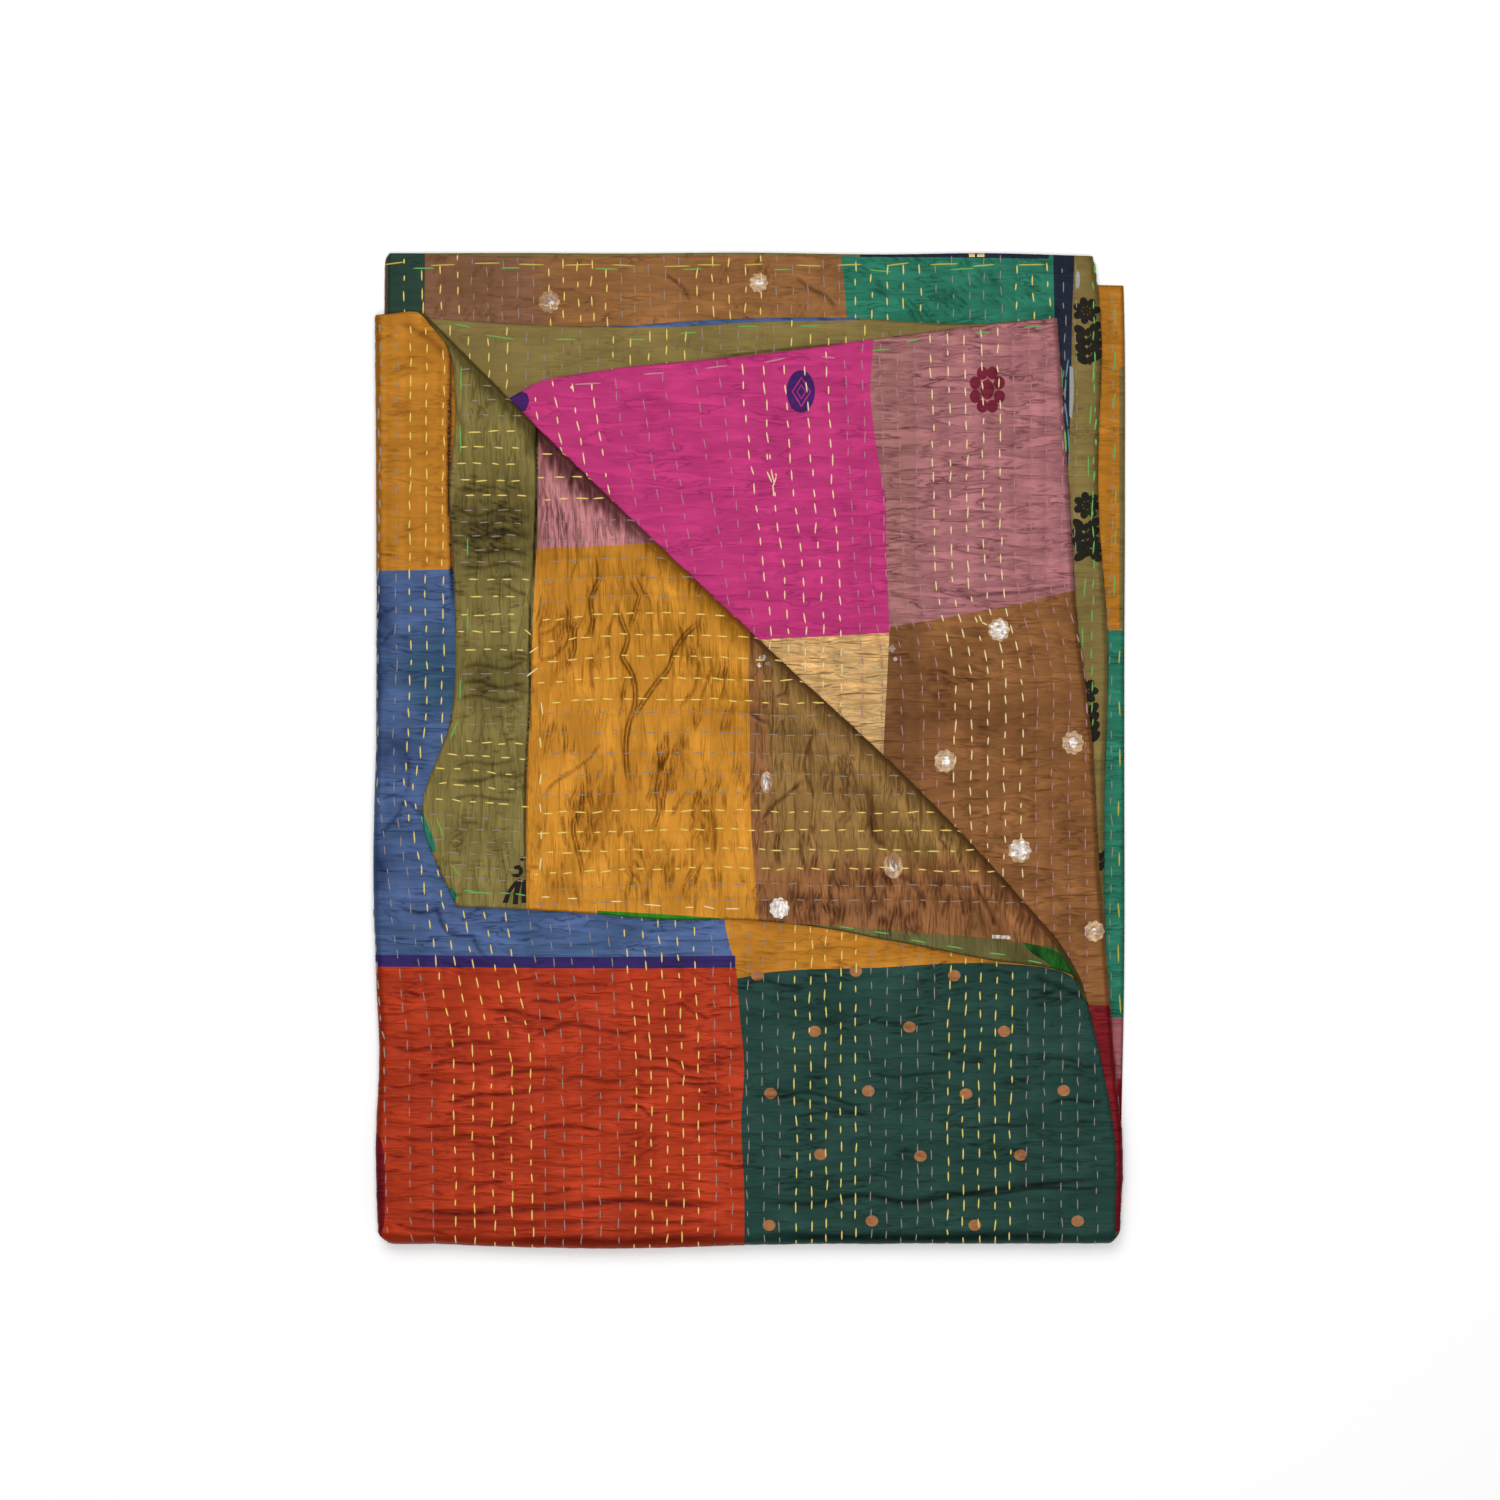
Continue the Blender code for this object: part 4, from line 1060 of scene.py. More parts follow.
def crease_line(face):
    """The line along the roll where a face's patches end, or nothing."""
    if face not in (FRONT, FLAP):
        return None
    length = (TURN_END - TURN_START).length
    along = np.linspace(-0.10, 1.10, 400) * length
    start, radius, _, slide = crease(along)
    past = start + (PAST_ROLL if face is FRONT else math.pi * radius + slide)
    return np.stack(off_diagonal(along, past), axis=1)


# Mesh spacing along and across the rows: close where a face is seen from above, and coarse elsewhere
FINE = {"flap": (0.0010, 0.0012)}
USUAL, COARSE = (0.00090, 0.0018), (0.0036, 0.0050)
MARK_CELL = 0.0011  # grid points this close to a seam's own points are left out
ROUND_THE_FOLD = FOLD_LINE - 0.030  # the front below this length is out of sight round the bottom fold

# Where the turned corner covers the front, a little inside its hems, in metres
FLAP_COVER = np.array(
    [(-0.200, 0.270), (-0.192, 0.080), (-0.208, -0.035), (-0.190, -0.092), (-0.140, -0.100),
     (0.060, -0.108), (0.200, -0.138), (0.060, 0.010), (-0.120, 0.180)]
)


def seen_from_above(face, p, q):
    """Whether a point of a face is in sight from above, and so needs the finer mesh."""
    if face is FRONT:
        return (q > ROUND_THE_FOLD) & ~within(np.stack([p, q], axis=1), FLAP_COVER)
    return np.ones(len(p), dtype=bool)


def triangulate(face, regions):
    """Points of a face in flat coordinates, and triangles, divided along every seam that shows."""
    generator = np.random.default_rng(face.seed)
    outline = border(face)
    low, high = outline.min(axis=0), outline.max(axis=0)
    chosen = []
    for step, fine in ((FINE.get(face.name, USUAL), True), (COARSE, False)):
        size = step[::-1] if face.rows == "q" else step
        p, q = (a.ravel() for a in np.meshgrid(*(np.arange(low[k], high[k], size[k]) for k in (0, 1))))
        p = p + generator.uniform(-0.18, 0.18, len(p)) * size[0]
        q = q + generator.uniform(-0.18, 0.18, len(q)) * size[1]
        keep = within(np.stack([p, q], axis=1), outline)
        p, q = p[keep], q[keep]
        keep = (seen_from_above(face, p, q) == fine) & face.shows(p, q)
        chosen.append(np.stack([p[keep], q[keep]], axis=1))
    loops = [loop for region in regions for loop in region.outlines]
    lines = [np.concatenate([loop, loop[:1]]) for loop in loops]
    cut = crease_line(face)
    if cut is not None:
        lines.append(cut)
    points, edges = [outline], []
    count = len(outline)
    for line in lines:
        inside = within(line, outline)
        index = np.where(inside, count + np.cumsum(inside) - 1, -1)
        points.append(line[inside])
        count += int(inside.sum())
        edges += [(a, b) for a, b in zip(index[:-1], index[1:]) if a >= 0 and b >= 0]
    marks = np.concatenate(points)
    taken = np.unique(np.round(marks / MARK_CELL).astype(np.int64) @ (1, 100000))
    grid_points = np.concatenate(chosen)
    cell = np.round(grid_points / MARK_CELL).astype(np.int64) @ (1, 100000)
    grid_points = grid_points[~np.isin(cell, taken)]
    everything = np.concatenate([marks, grid_points])
    made = delaunay_2d_cdt(
        [Vector(v) for v in everything.tolist()],
        [(int(a), int(b)) for a, b in edges],
        [list(range(len(outline)))],
        1,
        1e-6,
    )
    flat = np.array([tuple(v) for v in made[0]])
    faces = np.array([f for f in made[2] if len(f) == 3])
    middles = flat[faces].mean(axis=1)
    faces = faces[face.shows(middles[:, 0], middles[:, 1])]
    return flat, faces


def open_edges(faces):
    """The directed edges that only one triangle uses."""
    edges = np.concatenate([faces[:, [0, 1]], faces[:, [1, 2]], faces[:, [2, 0]]]).astype(np.int64)
    size = int(edges.max()) + 1
    keys, back = edges[:, 0] * size + edges[:, 1], edges[:, 1] * size + edges[:, 0]
    return edges[~np.isin(keys, back)]


LIFT = 0.00013  # what each layer of silk adds at a seam
SKIRT, SKIRT_SHADE = 0.0013, 0.8  # how far a patch's edge is turned down, and the painted shade on it
HEM_DROP = 0.00055  # how far the silk rounds off at a hem
UV_SPAN = 1.6  # metres of flat cloth between 0 and 1 of the texture coordinates
UV_SHIFT = 0.34  # brings the silk wrapped under the quilt into that range


def flat_uv(face, p, q):
    """Texture coordinates from 0 to 1, the same scale both ways, with V along the rows."""
    along, over = row_frame(face, p, q)
    return np.stack([0.5 + over / UV_SPAN, 0.5 + (along + UV_SHIFT) / UV_SPAN], axis=1)


def patch(face, region, flat, faces, hem_points):
    """One patch as a mesh object that follows the puckered cloth, with its edges turned down."""
    used, index = np.unique(faces, return_inverse=True)
    faces = index.reshape(faces.shape)
    p, q = flat[used].T
    rise = LIFT * region.layers - np.where(np.isin(used, hem_points), HEM_DROP, 0.0)
    strip, run = face.place(p, q)
    height, surface_painted_shade = relief(face, p, q)
    normal = normals(strip, run)
    base = fold_cloth(strip, run)
    top = base + normal * (face.side * (PATCH_HALF + height + rise))[:, None]
    rim = open_edges(faces)
    rim_points, rim_index = np.unique(rim, return_inverse=True)
    rim = rim_index.reshape(rim.shape)
    low = top[rim_points] - normal[rim_points] * face.side * SKIRT
    n, m = len(top), len(rim_points)
    points = np.concatenate([top, top[rim_points], low])
    skirt = np.stack([rim[:, 1] + n, rim[:, 0] + n, rim[:, 0] + n + m, rim[:, 1] + n + m], axis=1)
    polygons = faces.tolist() + skirt.tolist()
    again = np.concatenate([np.arange(n), rim_points, rim_points])
    uv = flat_uv(face, p[again], q[again])
    painted_shade = np.concatenate([surface_painted_shade, surface_painted_shade[rim_points], np.full(m, SKIRT_SHADE)])
    over = tint(face, p[again], q[again])
    return build(f"{face.name}_{region.name}", points, polygons, uv, painted_shade, region.silk, over)


def build(name, points, polygons, uv, painted_shade, silk, over=None):
    """A mesh object with its texture coordinates, shade, tint and material."""
    points[:, 2] = np.maximum(points[:, 2], 0.0)  # the cloth lies on the ground, not in it
    mesh = bpy.data.meshes.new(name)
    mesh.from_pydata(points.tolist(), [], polygons)
    mesh.update()
    corners = np.empty(len(mesh.loops), dtype=np.int32)
    mesh.loops.foreach_get("vertex_index", corners)
    layer = mesh.uv_layers.new(name="flat")
    layer.data.foreach_set("uv", uv[corners].astype(np.float32).ravel())
    # the crease attribute holds the painted shade of creases, seams and hems
    for kind, values in (("crease", painted_shade), ("tint", np.zeros(len(points)) if over is None else over)):
        attribute = mesh.attributes.new(name=kind, type="FLOAT", domain="POINT")
        attribute.data.foreach_set("value", values.astype(np.float32))
    mesh.shade_smooth()
    mesh.materials.append(material(silk))
    made = bpy.data.objects.new(name, mesh)
    bpy.context.scene.collection.objects.link(made)
    return made


# ---------------------------------------------------------------- materials
def linear(rgb, gain):
    """Base colour of a silk that looks like an sRGB colour, given from 0 to 255, in this light."""
    c = np.array(rgb, dtype=float) / 255
    return (*(gain * np.where(c <= 0.04045, c / 12.92, ((c + 0.055) / 1.055) ** 2.4)).tolist(), 1.0)


# One silk: its colour, a second shade and how far it shifts to it, how many shifts a metre has, how
# streaky its threads are, how strongly it crinkles in bump and in painted shade and highlight, how rough,
# and how metallic its sheen
Silk = namedtuple("Silk", "colour second shift grain streak crinkle rough metal")
SILKS = {
    "mustard": Silk((170, 111, 26), (155, 96, 20), 0.4, 40, 0.04, 0.45, 0.46, 0.40),
    "mustard_flap": Silk((179, 120, 31), (160, 101, 19), 0.4, 40, 0.04, 0.37, 0.44, 0.42),
    "blue": Silk((76, 97, 142), (48, 79, 104), 0.4, 40, 0.06, 0.85, 0.52, 0.35),
    "purple": Silk((49, 34, 96), (42, 28, 84), 0.4, 40, 0.08, 0.40, 0.54, 0.35),
    "orange": Silk((163, 48, 14), (148, 39, 10), 0.4, 40, 0.04, 0.50, 0.46, 0.40),
    "teal": Silk((33, 68, 60), (29, 59, 53), 0.3, 40, 0.05, 0.48, 0.54, 0.35),
    "dark_teal": Silk((46, 73, 59), (38, 63, 52), 0.4, 40, 0.08, 0.50, 0.54, 0.35),
    "brown": Silk((131, 85, 44), (112, 72, 37), 0.4, 40, 0.05, 0.65, 0.46, 0.40),
    "brown_under": Silk((135, 90, 46), (115, 78, 54), 0.3, 40, 0.06, 0.60, 0.46, 0.40),
    "brown_flap": Silk((131, 83, 47), (131, 98, 50), 0.3, 40, 0.05, 0.70, 0.44, 0.40),
    "emerald": Silk((39, 118, 94), (33, 102, 79), 0.4, 40, 0.05, 0.75, 0.50, 0.38),
    "navy": Silk((30, 38, 56), (25, 32, 49), 0.4, 40, 0.08, 0.50, 0.54, 0.35),
    "olive": Silk((125, 107, 58), (114, 96, 52), 0.3, 40, 0.08, 0.35, 0.50, 0.38),
    "olive_flap": Silk((127, 113, 60), (110, 98, 51), 0.4, 40, 0.06, 0.75, 0.50, 0.38),
    "hem_olive": Silk((99, 91, 50), (82, 74, 39), 0.5, 40, 0.10, 0.40, 0.46, 0.40),
    "magenta": Silk((205, 73, 150), (189, 51, 116), 0.5, 60, 0.04, 0.72, 0.54, 0.35),
    "mauve": Silk((162, 104, 108), (150, 99, 97), 0.2, 60, 0.05, 1.00, 0.48, 0.38),
    "mauve_flap": Silk((169, 110, 112), (156, 99, 102), 0.4, 60, 0.10, 0.75, 0.42, 0.45),
    # the gold's wide shift to its second shade is partly its own tone and partly painted satin sheen
    "gold": Silk((212, 193, 149), (162, 125, 77), 1.0, 90, 0.12, 0.90, 0.36, 0.45),
    "crimson": Silk((121, 16, 26), (100, 11, 20), 0.5, 60, 0.05, 0.75, 0.50, 0.38),
    "rose": Silk((158, 92, 96), (146, 82, 88), 0.4, 40, 0.10, 0.50, 0.50, 0.38),
    "green": Silk((44, 120, 24), (36, 104, 20), 0.4, 60, 0.06, 0.30, 0.48, 0.40),
    "leaf_green": Silk((30, 104, 26), (14, 50, 14), 1.0, 70, 0.06, 0.50, 0.48, 0.40),
    "indigo": Silk((84, 32, 110), (66, 26, 96), 0.5, 90, 0.10, 0.30, 0.54, 0.35),
    "maroon": Silk((122, 32, 52), (104, 24, 44), 0.5, 90, 0.10, 0.40, 0.54, 0.35),
    "black": Silk((26, 24, 20), (48, 44, 30), 0.8, 200, 0.08, 0.20, 0.66, 0.20),
    "dot": Silk((182, 122, 76), (158, 104, 62), 0.8, 300, 0.10, 0.0, 0.56, 0.20),
    "zari": Silk((226, 196, 158), (156, 116, 84), 1.0, 420, 0.20, 0.0, 0.50, 0.25),
    # the silver is partly the metal thread's own colour and partly painted glints in its near-white
    # speckle
    "silver": Silk((255, 250, 244), (132, 104, 84), 1.0, 520, 0.20, 0.0, 0.40, 0.25),
    "grey_silk": Silk((168, 168, 164), (150, 150, 148), 0.4, 60, 0.08, 0.20, 0.50, 0.10),
    "lining": Silk((110, 90, 50), (96, 80, 46), 0.4, 40, 0.10, 0.0, 0.56, 0.25),
}


def thread(colour, second):
    """A sewing thread, which is a plain silk."""
    return Silk(colour, second, 0.4, 300, 0.08, 0.0, 0.60, 0.0)


THREADS = {
    "yellow": thread((246, 220, 120), (236, 204, 104)),
    "grey": thread((160, 146, 138), (140, 128, 122)),
    "faint": thread((190, 138, 146), (170, 122, 128)),
    "light_green": thread((116, 186, 96), (100, 166, 80)),
    "hem_yellow": thread((206, 190, 84), (188, 172, 70)),
    "pink_grey": thread((206, 148, 156), (184, 128, 138)),
    "blue_white": thread((112, 156, 172), (92, 136, 156)),
    "cream": thread((250, 230, 174), (240, 214, 150)),
}
SILK_GAIN, THREAD_GAIN = 0.72, 0.82  # how much of its colour a silk and a thread give back
SHADE_GAIN = 1.2  # how soon a crease's painted shade reaches its silk's dark colour
BLACKEST = (0.80, 1.0)  # from here on a crease's painted shade goes over to black


def material(name):
    """The silk of that name as a material, made once."""
    made = bpy.data.materials.get(name)
    if made:
        return made
    silk, gain = (THREADS[name], THREAD_GAIN) if name in THREADS else (SILKS[name], SILK_GAIN)
    made = bpy.data.materials.new(name)
    made.use_nodes = True
    tree = made.node_tree
    shader = tree.nodes["Principled BSDF"]

    def node(kind, **inputs):
        """A new node with its inputs set by name."""
        new = tree.nodes.new(kind)
        for key, value in inputs.items():
            new.inputs[key.replace("_", " ")].default_value = value
        return new

    def mixed(mode, factor, a, b):
        """Two colours blended, each a socket or a value."""
        new = tree.nodes.new("ShaderNodeMix")
        new.data_type, new.blend_type = "RGBA", mode
        for socket, value in ((new.inputs[0], factor), (new.inputs[6], a), (new.inputs[7], b)):
            if isinstance(value, bpy.types.NodeSocket):
                tree.links.new(value, socket)
            else:
                socket.default_value = value
        return new.outputs[2]

    flat = tree.nodes.new("ShaderNodeUVMap")
    flat.uv_map = "flat"

    def stretched(x, y, scale, detail, bend=0.0):
        """Noise over the flat cloth, in features per metre across and along."""
        place = tree.nodes.new("ShaderNodeMapping")
        place.inputs["Scale"].default_value = (x * UV_SPAN, y * UV_SPAN, 1.0)
        tree.links.new(flat.outputs["UV"], place.inputs["Vector"])
        new = node("ShaderNodeTexNoise", Scale=scale, Detail=detail, Distortion=bend)
        tree.links.new(place.outputs["Vector"], new.inputs["Vector"])
        return new.outputs["Fac"]

    def ranged(value, low, high, start=0.3, end=0.7):
        """A socket's values from start to end, brought to low to high."""
        new = node("ShaderNodeMapRange")
        new.inputs["To Min"].default_value, new.inputs["To Max"].default_value = low, high
        new.inputs["From Min"].default_value, new.inputs["From Max"].default_value = start, end
        tree.links.new(value, new.inputs["Value"])
        return new.outputs["Result"]

    def plus(a, b, operation="ADD"):
        """Two numbers taken together, each a socket or a value."""
        new = tree.nodes.new("ShaderNodeMath")
        new.operation = operation
        for socket, value in zip(new.inputs, (a, b)):
            if isinstance(value, bpy.types.NodeSocket):
                tree.links.new(value, socket)
            else:
                socket.default_value = value
        return new.outputs[0]

    mottle = stretched(0.6, 1, float(silk.grain), 4.0)
    weft = stretched(0.035, 1, 900.0, 2.0)
    warp = stretched(1, 0.05, 700.0, 2.0)
    threads = plus(plus(weft, 0.8, "MULTIPLY"), plus(warp, 0.2, "MULTIPLY"))
    shifted = tree.nodes.new("ShaderNodeAttribute")
    shifted.attribute_name = "tint"
    share = plus(ranged(mottle, 0.0, silk.shift), shifted.outputs["Fac"])
    share.node.use_clamp = True
    colour = mixed("MIX", share, linear(silk.colour, gain), linear(silk.second, gain))
    folded = stretched(0.19, 1, 165.0, 2.5, 0.35)
    # a painted highlight on the crinkles' crests, times the threads' own streaks
    brightness = tree.nodes.new("ShaderNodeCombineColor")
    painted_highlight = ranged(folded, 1.0, 1 + 0.20 * silk.crinkle, 0.50, 0.62)
    level = plus(ranged(threads, 1 - silk.streak, 1 + silk.streak), painted_highlight, "MULTIPLY")
    for socket in brightness.inputs:
        tree.links.new(level, socket)
    colour = mixed("MULTIPLY", 1.0, colour, brightness.outputs[0])
    # painted shade of the creases, seams and hems, from the crease attribute
    painted_shade = tree.nodes.new("ShaderNodeAttribute")
    painted_shade.attribute_name = "crease"
    # painted shade of the crinkles the rows draw in: in their hollows, and in sharp broken lines
    off = plus(plus(folded, 0.5, "SUBTRACT"), 0.0, "ABSOLUTE")
    broken = ranged(stretched(0.5, 1, 55.0, 2.0), 0.0, 1.0, 0.46, 0.60)
    lines = plus(ranged(off, 1.0, 0.0, 0.004, 0.032), broken, "MULTIPLY")
    hollow_painted_shade = plus(ranged(folded, 0.24, 0.0, 0.32, 0.54), lines)
    crinkle_painted_shade = plus(hollow_painted_shade, silk.crinkle, "MULTIPLY")
    shade = plus(plus(painted_shade.outputs["Fac"], SHADE_GAIN, "MULTIPLY"), crinkle_painted_shade, "MAXIMUM")
    shade.node.use_clamp = True
    # the silk's colour in full painted shade
    dark = tuple(0.62 * v**1.35 for v in linear(silk.colour, gain)[:3]) + (1.0,)
    colour = mixed("MIX", shade, colour, dark)
    colour = mixed("MIX", ranged(painted_shade.outputs["Fac"], 0.0, 0.85, *BLACKEST), colour, (0.0, 0.0, 0.0, 1.0))
    tree.links.new(colour, shader.inputs["Base Color"])
    tree.links.new(ranged(mottle, silk.rough - 0.05, silk.rough + 0.07), shader.inputs["Roughness"])
    shader.inputs["Metallic"].default_value = silk.metal
    shader.inputs["Specular IOR Level"].default_value = 0.10
    crinkle = node("ShaderNodeBump", Strength=1.0, Distance=0.0022 * silk.crinkle)
    tree.links.new(folded, crinkle.inputs["Height"])
    bump = node("ShaderNodeBump", Strength=0.35, Distance=0.00035)
    tree.links.new(threads, bump.inputs["Height"])
    tree.links.new(crinkle.outputs["Normal"], bump.inputs["Normal"])
    tree.links.new(bump.outputs["Normal"], shader.inputs["Normal"])
    return made


# ---------------------------------------------------------------- what each face is pieced from
WIDE = 400  # millimetres, past both side edges of every face


def block(x0, y0, x1, y1):
    """A rectangle's outline, by two corners in millimetres."""
    return curve([(x0, y0), (x1, y0), (x1, y1), (x0, y1)])


def dots():
    """The woven dots of the teal silk, in staggered rows: height, first, spacing and count."""
    rows = (
        (-152, 5, 67, 3),
        (-190, 44, 64.5, 3),
        (-233, 14, 66.5, 4),
        (-276, 48, 68, 3),
        (-322, 13, 70, 4),
        (-362, 46, 67, 3),
        (-402, 12, 68, 4),
        (-444, 45, 67, 3),
    )
    return [
        oval(first + spacing * k, y + 1.5 * math.sin(3 * k + y), 8.6, 7.6)
        for y, first, spacing, count in rows
        for k in range(count)
    ]


def spot(x, y, size=1.0, turn=0.0):
    """A woven metal-thread spot, roughly a scalloped disc."""
    return oval(x, y, 14.5 * size, 15.5 * size, lobes=9, depth=0.07, turn=turn, count=54)


FRONT_REGIONS = (
    Region("under_magenta", "magenta", 0, [block(-WIDE, -1100, 20, -735)]),
    Region("under_emerald", "emerald", 0, [curve([(12, -1100), (WIDE, -1100), (WIDE, -735), (12, -735),
        (9, -860)])]),
    Region("under_brown", "brown", 1, [curve([(-WIDE, -742), (-120, -746), (-3, -741), (-3, -460),
        (-WIDE, -460)])]),
    Region("under_mauve", "mauve", 1, [curve([(-3, -741), (120, -738), (WIDE, -744), (WIDE, -460),
        (-6, -460), (-4, -600)])]),
    Region("blue", "blue", 0, [block(-WIDE, -160, 0, 140)]),
    Region("mustard", "mustard", 1, [curve([(-WIDE, 121), (-255, 122), (-225, 122.5), (-201, 123),
        (-150, 121), (-60, 121), (-60, WIDE), (-WIDE, WIDE)])]),
    Region("mustard_low", "mustard", 1, [curve([(-12, 160), (-14, 0), (-17, -118), (-10, -149), (-9, -175),
        (240, -185), (WIDE, -185), (WIDE, 160)])]),
    Region("teal", "teal", 1, [curve([(-30, -158), (-9, -155.5), (16, -151), (89, -148), (143, -145),
        (171, -145.5), (213, -151), (226, -158), (WIDE, -175), (WIDE, -478), (200, -472), (100, -477),
        (-5, -474), (-30, -474)])]),
    Region("purple", "purple", 2, [curve([(-WIDE, -139), (-190, -140), (-130, -141), (-60, -140.5),
        (-10, -140), (-10, -160), (-WIDE, -160)])]),
    Region("orange", "orange", 3, [curve([(-WIDE, -147), (-255, -147.5), (-190, -148), (-130, -148.5),
        (-60, -148.5), (-9.5, -148), (-7, -180), (-4, -216), (-6, -252), (-4, -300), (-4, -338),
        (-5, -360), (-7, -420), (-5, -476), (-150, -474), (-WIDE, -478)])]),
    Region("crimson_rim", "crimson", 3, [curve([(-262, -259), (-252, -262), (-249, -275), (-248.5, -300),
        (-249, -322), (-252, -334), (-262, -336)])]),
    Region("dots", "dot", 1, dots()),
)

FLAP_REGIONS = (
    Region("olive", "olive_flap", 0, [block(-WIDE, -WIDE, WIDE, WIDE)]),
    Region("mauve", "mauve_flap", 1, [curve([(-142, 300), (-143, 173), (-145, 120), (-64, 120), (40, 130),
        (40, 300)])]),
    Region("brown", "brown_flap", 1, [curve([(-10, 200), (-10, -140), (40, -140), (48, -120), (100, -124),
        (171, -129), (200, -131), (240, -134), (WIDE, -134), (WIDE, 200)])]),
    Region("mustard", "mustard_flap", 2, [curve([(-145, 137), (-100, 139.5), (-64, 142), (-20, 145),
        (8, 147), (3, 110), (1, 76), (0, 15), (1, -54), (5, -106), (7, -140), (-152, -140), (-152, -108),
        (-152, -71), (-152, -20), (-149, 33), (-148, 75)])]),
    Region("print", "black", 0, [
        curve([(-168.4, -104), (-165.5, -97), (-161.5, -91), (-158.4, -88), (-158.6, -91), (-162, -96),
            (-164.6, -104)]),
        curve([(-161.4, -105), (-160.6, -97), (-159, -91), (-156.4, -87), (-155.4, -90), (-157, -97),
            (-157.8, -105)]),
        curve([(-155.4, -104), (-155.6, -96), (-155, -89), (-152.6, -88), (-152.2, -96), (-152.2, -104)]),
        curve([(-160.5, -79), (-157, -78), (-154.5, -80.5), (-154.5, -84), (-157, -86.5), (-160.5, -86.5),
               (-162, -84.5), (-160, -84.2), (-157.5, -84), (-157, -81.8), (-159, -81), (-160.5, -81.5)]),
        oval(-155, -74, 2.6, 3.4, count=10),
    ]),
    Region("hem_olive", "hem_olive", 0, [curve([(-20, -115.5), (44, -119), (100, -123), (171, -128.5),
        (200, -131), (240, -134), (240, -160), (-18, -160)])]),
    Region("green_trim", "green", 1, [curve([(-104, -109.2), (-60, -111.6), (-20, -114.4), (-16, -140),
        (-104, -140)])]),
    Region("emerald_trim", "emerald", 1, [
        curve([(-232, -40), (-222.5, -42), (-218.6, -52), (-214.6, -62), (-213.5, -69), (-235, -72)]),
        curve([(-210, -94), (-202.5, -94), (-198.8, -99), (-201, -103), (-212, -103)]),
    ]),
    Region("zari", "zari", 1, [oval(97.5, -78.5, 13, 17.5), oval(11.3, -22, 8, 15)]),
    Region("silver", "silver", 1, [
        block(165, -127.6, 178, -125), spot(20, -107.5, 0.9), oval(11.3, -22, 5, 11),
            oval(97.5, -78.5, 5.5, 8),
        oval(10, 64, 5, 4), oval(14, 60, 4, 3), oval(8, 59, 3, 3),
    ]),
    Region("leaf", "leaf_green", 1, [curve([(186, -129), (200, -132), (211, -136), (219, -146),
        (228, -162), (216, -155), (203, -143), (192, -136)])]),
)


def flower(x, y, wide, high):
    """Eight round petals close about an oval middle, in closed outlines."""
    made = [oval(x, y, 0.38 * wide, 0.40 * high)]
    for k in range(8):
        turn = 2 * math.pi * (k + 0.5) / 8
        px, py = x + 0.355 * wide * math.cos(turn), y + 0.36 * high * math.sin(turn)
        made.append(oval(px, py, 0.31 * wide, 0.265 * high, count=16))
    return made


def diamond_line(x, y, wide, high, thick):
    """A thin line round a diamond, as four closed strips."""
    tips = [(0, 1), (1, 0), (0, -1), (-1, 0)]
    made = []
    for (u0, v0), (u1, v1) in zip(tips, tips[1:] + tips[:1]):
        outer = [(x + u * wide / 2, y + v * high / 2) for u, v in ((u0, v0), (u1, v1))]
        inner = [(x + u * (wide / 2 - thick), y + v * (high / 2 - thick)) for u, v in ((u1, v1), (u0, v0))]
        made.append(curve(outer + inner, step=0.0012))
    return made


INNER_REGIONS = (
    Region("brown", "brown", 0, [block(-WIDE, -WIDE, WIDE, WIDE)]),
    Region("crimson", "crimson", 1, [curve([(-WIDE, -173), (200, -172), (240, -174), (WIDE, -175),
        (WIDE, -WIDE), (-WIDE, -WIDE)])]),
    Region("gold", "gold", 1, [curve([(-60, 100), (96, 100), (93, 40), (91, -1), (91, -60), (-60, -60)])]),
    Region("mauve", "mauve", 1, [curve([(60, 330), (60, 83), (95, 84), (138, 91), (180, 99), (222, 109),
        (280, 121), (280, 330)])]),
    Region("magenta", "magenta", 2, [curve([(-260, 330), (84.5, 330), (84, 277), (82, 245), (87, 201),
        (92, 172), (93, 129), (95, 80), (60, 78), (10, 75.5), (-60, 72), (-260, 60)])]),
    Region("indigo_end", "indigo", 3, [curve([(-180, 252), (-152, 243), (-150.5, 238), (-153, 231),
        (-180, 226)])]),
    Region("oval", "indigo", 2, [oval(34.6, 244.3, 19.3, 29, count=40)]),
    Region("oval_lines", "magenta", 2, [*diamond_line(35, 244, 13, 21, 0.7),
        *diamond_line(35, 244, 6.5, 10.5, 0.6)]),
    Region("flower", "maroon", 1, flower(161.7, 245.5, 25, 34)),
    Region("zari", "zari", 1, [spot(133, -7.5), spot(220, 5), spot(234.5, -123.5, 0.9),
        spot(183.8, -68.5, 1.05), spot(169.6, 82, 1.0)]),
    Region("silver", "silver", 1, [
        oval(169.6, 82, 12, 12, 5, 0.12), oval(183.8, -68.5, 13, 12, 5, 0.12), oval(220, 5, 6, 7, 5, 0.12),
        oval(133.5, -7.5, 5.5, 7, 5, 0.12), oval(234.5, -123.5, 3, 4), oval(96.5, 69, 5, 5, 5, 0.2),
            oval(99, 62, 3, 3),
    ]),
)

MIDDLE_REGIONS = (
    Region("olive", "olive", 0, [block(-WIDE, -WIDE, WIDE, WIDE)]),
    Region("blue_rim", "blue", 1, [curve([(-129, 289.8), (-90, 288.2), (-45, 288.8), (0, 291.6),
        (40, 292.6), (75, 293.2), (75, 320), (-129, 320)])]),
)


